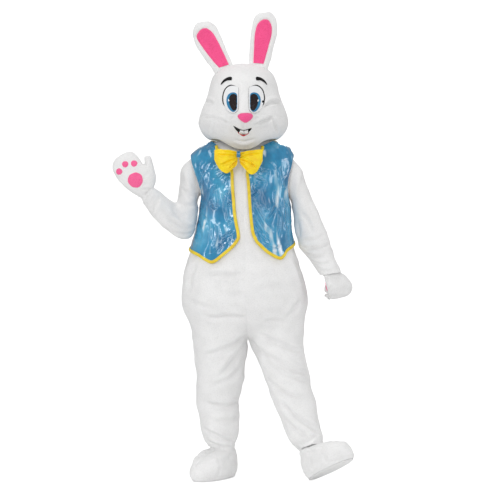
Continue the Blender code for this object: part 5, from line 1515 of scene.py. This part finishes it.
def vest():
    cloth = Cloth()
    across = np.linspace(0, 1, 78)
    outer = {}
    for side, word in ((-1, "right"), (1, "left")):
        edge, hem = VEST_EDGE[side]
        edge = np.array([on_front(x, y, side) for x, y in edge])
        hem = [on_front(x, y, side) for x, y in hem]
        low = hem[-1][0]
        hem = np.array(sorted(hem[:-1], key=lambda e: e[1]) + [(low, 1.0)])
        fine = curve(edge, np.linspace(0, len(edge) - 1, 400))
        hf = curve(hem, np.linspace(0, len(hem) - 1, 200))
        hf[:, 1] = np.clip(hf[:, 1], hem[0][1], 1.0)
        edge_s = lambda r: np.interp(r, fine[:, 0], fine[:, 1])  # noqa: E731
        top = edge[0]
        tip = float(hem[np.argmax(hem[:, 0])][1])
        shares = [hem[0][1], (hem[0][1] + tip) / 2, tip] + [tip + (1 - tip) * k / 3 for k in (1, 2, 3)]
        col_s = np.interp(across, np.linspace(0, 1, 6), shares)
        col_r = np.interp(col_s, hf[:, 1], hf[:, 0])
        rows = []
        neck = np.stack([top[0] + (1.0 - top[0]) * across, top[1] + (1 - top[1]) * across], -1)
        a0 = edge_s(1.9)
        second = np.stack([np.full(len(across), 1.9), a0 + (1 - a0) * across], -1)
        for t in np.linspace(0, 1, 14)[:-1]:
            rows.append(neck * (1 - t) + second * t)
        arm = 6.25 - 2.65 * np.cos(np.linspace(0, math.pi, 88))
        for r in np.concatenate([np.linspace(1.9, 3.6, 26)[:-1], arm]):
            a, b = float(edge_s(r)), float(armhole(r, **VEST_ARM))
            rows.append(np.stack([np.full(len(across), r), a + (b - a) * across], -1))
        a = float(edge_s(8.9))
        s9 = a + (1 - a) * across
        for t in np.linspace(0, 1, 78)[1:]:
            r = 8.9 + (col_r - 8.9) * t
            s = s9 + (col_s - s9) * t
            s[0] = float(edge_s(r[0])) if t < 1 else hem[0][1]
            # columns near the front edge lean after it
            lean = np.exp(-across / 0.10)
            s = s + (s[0] - (s9[0] + (col_s[0] - s9[0]) * t)) * lean * (across > 0)
            rows.append(np.stack([r, s], -1))
        grid = np.array(rows)
        outer[side] = grid
        cloth.add(f"vest_{word}", vest_point(grid[..., 0], grid[..., 1], side, False), quads(len(grid), len(across)), flip=side > 0)
    count = len(outer[1])
    half = np.linspace(0, 1, 46)
    parts = []
    for side in (-1, 1):
        r, s = outer[side][:, -1, 0][:, None], outer[side][:, -1, 1][:, None]
        # both halves meet at the centre back, row by row
        mid = (outer[-1][:, -1, 0] + outer[1][:, -1, 0])[:, None] / 2
        rr = mid + (r - mid) * ease(half, 0, 1)[None, :]
        t = np.linspace(1, 0, count) ** 3
        fall = 1 - ease(np.arange(count), 0, 30)
        rr = rr - fall[:, None] * (r - 0.95) * (1 - half)[None, :] * (r > 0.95)
        del t
        parts.append(vest_point(rr, s * half[None, :], side, True))
    back = np.concatenate([parts[0][:, ::-1], parts[1][:, 1:]], axis=1)
    cloth.add("vest_back", back, quads(count, back.shape[1]))
    cloth.join(0.06)
    for name, f in cloth.panels.items():
        want = -1 if name != "vest_back" else 1
        if face_normals(cloth.p, f)[:, 1].sum() * want < 0:
            tri = f[:, 2] == f[:, 3]
            cloth.panels[name] = np.where(tri[:, None], np.stack([f[:, 1], f[:, 0], f[:, 2], f[:, 3]], -1), f[:, ::-1])
    cloth.all = np.concatenate(list(cloth.panels.values()))
    cloth.refresh()
    plain = {n: (cloth.p.copy(), cloth.n.copy()) for n in ("all",)}
    p, n = cloth.p, cloth.n
    fronted, backed = np.clip(-n[:, 1] * 1.6 + 0.15, 0, 1), np.clip(n[:, 1] * 1.6 + 0.15, 0, 1)
    by = creases(p, n, VEST_FOLDS, fronted) * 1.7 + creases(p, n, VEST_BACK_FOLDS, backed) * 1.5
    # crumples: thin ridges where the film has been pressed
    w = p + np.stack([noise(p, 60, 51), noise(p, 60, 52), noise(p, 60, 53)], -1) * 16
    ridge = 1 - np.abs(noise(w * (1, 1, 0.42), 34, 55))
    by += (np.clip(ridge, 0, 1) ** 4 - 0.25) * 3.4 * (0.45 + 0.55 * ease(noise(p, 110, 56), -0.3, 0.4))
    ridge = 1 - np.abs(noise(w * (1, 1, 0.5), 15, 57))
    by += (np.clip(ridge, 0, 1) ** 5 - 0.2) * 0.75 * ease(noise(p, 70, 58), -0.2, 0.5)
    by += noise(p, 75, 59) * 1.6
    edge = np.zeros(len(p), bool)
    edge[np.unique(rim_of(cloth.all))] = True
    calm = ease(cloth.near(edge, 26.0), 2, 24)
    seam = cloth.near(cloth.seams(), 8.0)
    by = np.clip(by, -4.2, 6.0) * (0.22 + 0.78 * calm) - 0.9 * np.exp(-((seam / 2.0) ** 2))
    cloth.move(by)
    cloth.smooth(0.5 * ease(p[:, 2], -150, -70) * ease(np.abs(p[:, 0]), 95, 130) * ~edge, 8)
    cloth.refresh()
    objs = {}
    for name in ("vest_right", "vest_left", "vest_back"):
        obj = cloth.build(name, VINYL, VINYL_M)
        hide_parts(name)
        SHEETS.append((obj, "hung", ["suit_front_right", "suit_back_right"]))
        objs[name] = obj
    on = cloth.tree()
    index = {}
    start = 0
    for side, word in ((-1, "right"), (1, "left")):
        g = outer[side]
        line = np.concatenate([g[:, 0], g[-1, 1:]])
        index[word] = vest_point(line[:, 0], line[:, 1], side, False)
    index["back_neck"] = back[0]
    index["back_hem"] = back[-1]
    del start, plain
    binding("binding_right", index["right"], on, cloth, "vest_right")
    binding("binding_left", index["left"], on, cloth, "vest_left")
    binding("binding_back_neck", index["back_neck"], on, cloth, "vest_back")
    binding("binding_back_hem", index["back_hem"], on, cloth, "vest_back")
    return cloth


def resample(line, step):
    d = np.concatenate([[0], np.cumsum(np.linalg.norm(np.diff(line, axis=0), axis=1))])
    at = np.linspace(0, d[-1], max(2, int(round(d[-1] / step)) + 1))
    return np.stack([np.interp(at, d, line[:, k]) for k in range(3)], -1)


def soften(line, times):
    line = line.copy()
    for _ in range(times):
        line[1:-1] = line[1:-1] * 0.5 + (line[:-2] + line[2:]) * 0.25
    return line


def binding(name, line, on, cloth, of, wide=11.0, thick=1.0, gap=1.0):
    line = soften(resample(np.asarray(line), 3.0), 2)
    # onto the folded vest's own edge
    ids = np.unique(rim_of(cloth.panels[of]))
    rim_points = KDTree(len(ids))
    for i, k in enumerate(ids):
        rim_points.insert(cloth.p[k], i)
    rim_points.balance()
    near = np.array([ids[rim_points.find(p)[1]] for p in line])
    normals = cloth.n[near]
    normals = unit(soften(normals, 3))
    line = line + normals * ((cloth.p[near] - line) * normals).sum(-1, keepdims=True)
    line = soften(line, 2)
    tangent = np.gradient(line, axis=0)
    tangent = unit(soften(tangent, 3))
    if name != "binding_none":
        for k in (0, -1):
            tangent[k] = [0.0, math.copysign(1.0, tangent[k][1]), 0.0] if abs(tangent[k][1]) > 0.3 else tangent[k]
    inward = unit(np.cross(normals, tangent))
    f = cloth.panels[of]
    centre = cloth.p[np.unique(f)].mean(axis=0)
    if (inward * (centre - line)).sum() < 0:
        inward = -inward
    m = len(line)
    shares = (1.0, 0.93, 0.72, 0.48, 0.24, 0.08)
    leg = []
    for s in shares:
        target = soften(line + inward * wide * s, 5 if s > 0.4 else 2)
        pts, nn = [], []
        for i, q in enumerate(target):
            hit, hn, _, _ = on.find_nearest(Vector(q + normals[i] * 1.0))
            hit, hn = np.array(hit), np.array(hn)
            if hn @ normals[i] < 0.3:
                hit, hn = q, normals[i]
            pts.append(hit)
            nn.append(hn)
        pts, nn = soften(np.array(pts), 1), unit(soften(np.array(nn), 3))
        leg.append((pts, nn))
    puff = {1.0: 0.0, 0.93: 0.5, 0.72: 0.15, 0.48: 0.75, 0.24: 0.7, 0.08: 0.35}
    ripple = noise(line, 14, 61) * 0.5 + noise(line, 6, 62) * 0.25
    section = []
    for s, (pts, nn) in zip(shares, leg):
        section.append(pts + nn * (gap + thick + puff[s] + (ripple * (s < 0.9)))[:, None] if True else pts)
    # the fold past the edge, then the inner leg
    reach_out = gap + thick + 0.35
    lower = VINYL + gap + thick
    for a in (60, 20, -20, -60):
        c, s = math.cos(math.radians(a)), math.sin(math.radians(a))
        middle = -(VINYL) / 2
        section.append(line - inward * reach_out * c + normals * (middle + (VINYL / 2 + gap + thick) * s))
    for s, (pts, nn) in list(zip(shares, leg))[::-1]:
        section.append(pts - nn * lower)
    for s, (pts, nn) in list(zip(shares, leg)):
        section.append(pts - nn * (lower - thick))
    for a in (-50, 0, 50):
        c, s = math.cos(math.radians(a)), math.sin(math.radians(a))
        section.append(line - inward * (reach_out - thick) * c + normals * (-VINYL / 2 + (VINYL / 2 + gap) * s))
    for s, (pts, nn) in list(zip(shares, leg))[::-1]:
        section.append(pts + nn * gap)
    ring = np.stack(section, 1)  # along, round
    k = ring.shape[1]
    faces = quads(m, k, around=True)
    points = ring.reshape(-1, 3)
    caps = []
    for b, turn in ((0, False), ((m - 1) * k, True)):
        # the C-shaped end: strips between its outer and its inner side
        out_ids = list(range(0, 16))
        in_ids = list(range(k - 1, 15, -1))
        i = j = 0
        while i < len(out_ids) - 1 or j < len(in_ids) - 1:
            if j >= len(in_ids) - 1 or (i < len(out_ids) - 1 and i / (len(out_ids) - 1) <= j / (len(in_ids) - 1)):
                tri = [b + out_ids[i], b + out_ids[i + 1], b + in_ids[j]]
                i += 1
            else:
                tri = [b + out_ids[i], b + in_ids[j + 1], b + in_ids[j]]
                j += 1
            if turn:
                tri = tri[::-1]
            caps.append(tri + [tri[-1]])
    faces = np.concatenate([faces, np.array(caps)])
    v = (points[faces[:, 0]] * np.cross(points[faces[:, 1]], points[faces[:, 2]])).sum() + (points[faces[:, 0]] * np.cross(points[faces[:, 2]], points[faces[:, 3]])).sum()
    if v < 0:
        tri = faces[:, 2] == faces[:, 3]
        faces = np.where(tri[:, None], np.stack([faces[:, 1], faces[:, 0], faces[:, 2], faces[:, 3]], -1), faces[:, ::-1])
    obj = make(name, points, faces, BINDING_M)
    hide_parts(name)
    SHEETS.append((obj, "folded", [of]))


# ---------------------------------------------------------------- the bow
WINGS = {
    "right": [((236.6, 151.6), (236.4, 165.4)), ((231.6, 150.6), (231.8, 169.6)), ((225, 149.8), (226.4, 173.2)), ((218.6, 149.2), (219.2, 168.6)), ((214.3, 150.2), (214.2, 159.6))],
    "left": [((240.8, 152.2), (241.2, 164.6)), ((245.4, 151.4), (246.4, 170.6)), ((251.4, 150.6), (251.6, 174.4)), ((257.6, 149.7), (257.4, 170.8)), ((263.2, 149.4), (262.6, 160.6))],
}
BOW_AT = -172.0
BOW_FOLDS = [
    ([(237.6, 156), (230, 155), (221, 154.6), (215.6, 153.6)], 2.6, 2.8, 1),
    ([(237.4, 158), (230.6, 160.2), (224, 163.4), (219, 165)], 3.0, 2.8, 1),
    ([(237.2, 160.6), (232.6, 164.6), (228.4, 169)], 2.6, 2.6, -1),
    ([(238, 153.6), (231, 152), (222, 151.4)], 1.8, 2.4, -1),
    ([(239.6, 157), (247, 155), (256, 153.8), (261.8, 152.8)], 2.8, 2.8, 1),
    ([(239.8, 159), (247, 161), (254, 165.4), (257, 168.4)], 3.0, 2.8, 1),
    ([(240, 161), (244.6, 165.6), (248.6, 170.6)], 2.6, 2.6, -1),
    ([(239.8, 154.4), (248, 152.4), (257, 151.4)], 1.8, 2.4, -1),
]


def bow(body):
    for word, ends in WINGS.items():
        rows, up = len(ends), 4
        bulge = [2.5, 12, 19, 16, 6]
        columns = [(i, -1) for i in range(rows)] + [(i, 1) for i in range(rows - 2, -1, -1)]
        grid = []
        for i, layer in columns:
            (xa, ya), (xb, yb) = ends[i]
            line = []
            for k in range(up + 1):
                t = k / up
                inward = (1.2 if word == "right" else -1.7) * math.sin(math.pi * t) if i == 0 else 0.0
                p = front(xa + (xb - xa) * t + inward, ya + (yb - ya) * t, BOW_AT)
                swell = bulge[i] * math.sin(math.pi * (0.12 + 0.76 * t))
                if i == rows - 1:
                    swell = 0.0
                y = BOW_AT - swell if layer < 0 else BOW_AT + 3 + 0.35 * swell
                hit, _, _, _ = body.ray_cast(Vector((p[0], -600, p[2])), Vector((0, 1, 0)))
                if hit is not None:
                    y += min(0.0, hit[1] - 9.0 - BOW_AT - 10)
                line.append((p[0], y, p[2]))
            grid.append(line)
        grid = np.array(grid)  # columns, up, 3
        a = np.linspace(0, len(columns) - 1, 130)
        b = np.linspace(0, up, 60)
        g = curve(grid, a)
        g = np.moveaxis(curve(np.moveaxis(g, 1, 0), b), 0, 1)
        cloth = Cloth()
        cloth.add("wing", g.reshape(-1, 3), quads(len(a), len(b)), flip=word == "left")
        cloth.join(0.01)
        mid = cloth.p.mean(axis=0)
        if ((cloth.p - mid) * cloth.n).sum() < 0:
            cloth.panels["wing"] = cloth.panels["wing"][:, ::-1]
            cloth.all = cloth.panels["wing"]
            cloth.refresh()
        p, n = cloth.p, cloth.n
        q = seen(p)
        by = creases(p, n, BOW_FOLDS, np.clip(-n[:, 1] * 1.6 + 0.1, 0, 1)) * 2.3
        root = np.abs(q[:, 0] - 238.6)
        # pleats gathered at the knot, which die away outwards
        ang = np.arctan2(q[:, 1] - 158, np.maximum(root, 0.5) * 1.4)
        by += np.sin(ang * 11 + 0.6) * 1.4 * np.exp(-((root - 3) / 9.0) ** 2)
        by += noise(p, 24, 71) * 0.9 + noise(p, 10, 72) * 0.3
        # a hem along the upper and the lower edge
        edge = np.zeros(len(p), bool)
        edge[np.unique(rim_of(cloth.all))] = True
        d = cloth.near(edge, 9.0)
        by -= 0.7 * np.exp(-(((d - 5.5) / 1.1) ** 2))
        cloth.move(np.clip(by, -6.0, 4.6) * np.where(n[:, 1] > 0, 0.3, 1.0))
        cloth.refresh()
        obj = cloth.build("wing", 1.4, YELLOW_M, piece=f"bow_{word}", round_edge=True)
        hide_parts(f"bow_{word}")
        SHEETS.append((obj, "folded", ["vest_right" if word == "right" else "vest_left"]))
    a = np.linspace(0, 2 * math.pi, 61)[:-1]
    ring = []
    for x, pinch in ((236.8, 1.0), (237.2, 1.08), (237.6, 0.98), (238.5, 0.94), (239.3, 0.99), (239.8, 1.08), (240.2, 1.0)):
        c = front(x, 154.6, BOW_AT)
        wob = 1 + 0.05 * np.sin(5 * a + x) + 0.04 * np.sin(9 * a + 2 * x)
        ring.append(c + np.stack([0 * a, -8.0 * pinch * wob * np.cos(a) - 14.0, 13.0 * pinch * wob * np.sin(a)], -1))
    ring = curve(np.array(ring), np.linspace(0, 6, 26))
    knot = Cloth()
    knot.add("knot", ring.reshape(-1, 3), quads(26, 60, around=True))
    knot.join(0.01)
    if ((knot.p - knot.p.mean(axis=0)) * knot.n).sum() < 0:
        knot.panels["knot"] = knot.panels["knot"][:, ::-1]
        knot.all = knot.panels["knot"]
        knot.refresh()
    knot.move(noise(knot.p, 6, 75) * 0.6)
    knot.refresh()
    obj = knot.build("knot", 1.2, VINYL_M, piece="bow_knot", round_edge=True)
    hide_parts("bow_knot")
    SHEETS.append((obj, "folded", ["bow_right"]))


# ---------------------------------------------------------------- the room
def room():
    scene = bpy.context.scene
    scene.view_settings.view_transform = "Standard"
    scene.view_settings.look = "None"
    m = bpy.data.materials.new("floor_white")
    m.use_nodes = True
    nodes, links = m.node_tree.nodes, m.node_tree.links
    shader = nodes["Principled BSDF"]
    shader.inputs["Roughness"].default_value = 0.9
    shader.inputs["Specular IOR Level"].default_value = 0.1
    t = nodes.new("ShaderNodeTexNoise")
    t.inputs["Scale"].default_value = 3.0
    r = nodes.new("ShaderNodeValToRGB")
    r.color_ramp.elements[0].color = (0.95, 0.95, 0.95, 1)
    r.color_ramp.elements[1].color = (0.97, 0.97, 0.97, 1)
    links.new(t.outputs["Fac"], r.inputs["Fac"])
    links.new(r.outputs["Color"], shader.inputs["Base Color"])
    shader.inputs["Emission Color"].default_value = (1.0, 1.0, 1.0, 1.0)
    # the floor glows only for the eye, so that it is as white as the backdrop and lights nothing
    seen = nodes.new("ShaderNodeLightPath")
    glow = nodes.new("ShaderNodeMath")
    glow.operation = "MULTIPLY"
    glow.inputs[1].default_value = 0.50
    links.new(seen.outputs["Is Camera Ray"], glow.inputs[0])
    links.new(glow.outputs[0], shader.inputs["Emission Strength"])
    # a plain pale floor
    verts = [(2.1 * math.cos(k * math.pi / 64), 2.1 * math.sin(k * math.pi / 64), FLOOR / 1000.0 - 0.002) for k in range(128)]
    faces = [tuple(range(128))]
    mesh = bpy.data.meshes.new("floor")
    mesh.from_pydata(verts, [], faces)
    mesh.polygons.foreach_set("use_smooth", [True] * len(faces))
    mesh.materials.append(m)
    floor = bpy.data.objects.new("floor", mesh)
    scene.collection.objects.link(floor)
    world = bpy.data.worlds.new("studio")
    world.use_nodes = True
    wn, wl = world.node_tree.nodes, world.node_tree.links
    back = wn["Background"]
    back.inputs["Color"].default_value = (1.0, 1.0, 1.0, 1.0)
    back.inputs["Strength"].default_value = AMBIENT
    bright = wn.new("ShaderNodeBackground")
    bright.inputs["Color"].default_value = (1.0, 1.0, 1.0, 1.0)
    bright.inputs["Strength"].default_value = 1.2
    path = wn.new("ShaderNodeLightPath")
    mixer = wn.new("ShaderNodeMixShader")
    wl.new(path.outputs["Is Camera Ray"], mixer.inputs["Fac"])
    wl.new(back.outputs[0], mixer.inputs[1])
    wl.new(bright.outputs[0], mixer.inputs[2])
    wl.new(mixer.outputs[0], wn["World Output"].inputs["Surface"])
    scene.world = world
    target = Vector((0.03, 0.0, -0.45))
    for name, place, size, power in LIGHTS:
        data = bpy.data.lights.new(name, "AREA")
        data.shape = "RECTANGLE"
        data.size, data.size_y = size
        data.energy = power
        obj = bpy.data.objects.new(name, data)
        obj.location = place
        obj.rotation_euler = (target - Vector(place)).to_track_quat("-Z", "Y").to_euler()
        scene.collection.objects.link(obj)
    data = bpy.data.cameras.new("camera")
    data.sensor_width = 36.0
    data.lens = 36.0 * 6.0 / (0.0044 * 500.0)
    camera = bpy.data.objects.new("camera", data)
    camera.location = (0.0286, -6.0, -0.471)
    camera.rotation_euler = (math.pi / 2, 0.0, 0.0)
    data.clip_end = 60.0
    scene.collection.objects.link(camera)
    scene.camera = camera


AMBIENT = 0.36
LIGHTS = [
    ("front_left", (-2.3, -4.0, 0.8), (0.34, 2.8), 39.0),
    ("front_mid", (-0.9, -4.8, 1.9), (0.9, 1.2), 17.0),
    ("front_right", (1.7, -4.4, 0.8), (0.30, 2.6), 18.0),
    ("right", (3.0, -2.8, 0.4), (0.36, 3.0), 15.0),
    ("top", (0.0, -0.9, 3.4), (2.4, 1.4), 34.0),
    ("left_strip", (-3.3, -1.2, 0.3), (0.40, 3.2), 22.0),
    ("right_strip", (3.3, -0.6, 0.3), (0.40, 3.2), 16.0),
    ("low", (0.2, -4.4, -1.1), (1.6, 0.5), 15.0),
    ("behind", (0.0, 3.6, 2.2), (2.6, 1.6), 38.0),
    ("behind_low", (0.6, 4.4, -0.5), (1.4, 2.0), 16.0),
]

# the flat width and length each piece is cut to, in metres, and the flat area where the cut isn't a rectangle
FLATS = {}


def declare():
    """Each sheet's cut, worked out from its own mesh: its longest reach for the length, and a width from half its
    skin's area with some to spare.
    """
    for obj, held, rests in SHEETS:
        mesh = obj.data
        area = sum(p.area for p in mesh.polygons) / 2.0
        co = np.array([v.co[:] for v in mesh.vertices])
        spread_ = co.max(axis=0) - co.min(axis=0)
        length = float(max(spread_)) * 1.02
        width = max(area / length * 1.12, 0.0102)
        length = max(length, 0.0102)
        if area > width * length:
            width = area / length * 1.02
        shape = max(area, 0.3 * width * length)
        FLATS[obj.name] = [round(width, 4), round(length, 4), round(shape, 5)]


room()
suit_cloth = jumpsuit()
mitten("right", mitten_right, 28.0)
mitten("left", mitten_left, 25.0)
shoe("right", np.array([-92.0, -22.0, FLOOR]), TOE[-1], 0.0)
shoe("left", np.array([334.0, -181.0, FLOOR + 31.8]), TOE[1], math.radians(27))
mask_cloth = mask()
ears(mask_cloth)
face(mask_cloth)
vest_cloth = vest()
body_points = [Vector(q) for q in suit_cloth.p] + [Vector(q) for q in vest_cloth.p]
body_faces = [tuple(dict.fromkeys(f)) for f in suit_cloth.all.tolist()] + [tuple(i + len(suit_cloth.p) for i in dict.fromkeys(f)) for f in vest_cloth.all.tolist()]
bow(BVHTree.FromPolygons(body_points, body_faces))
declare()
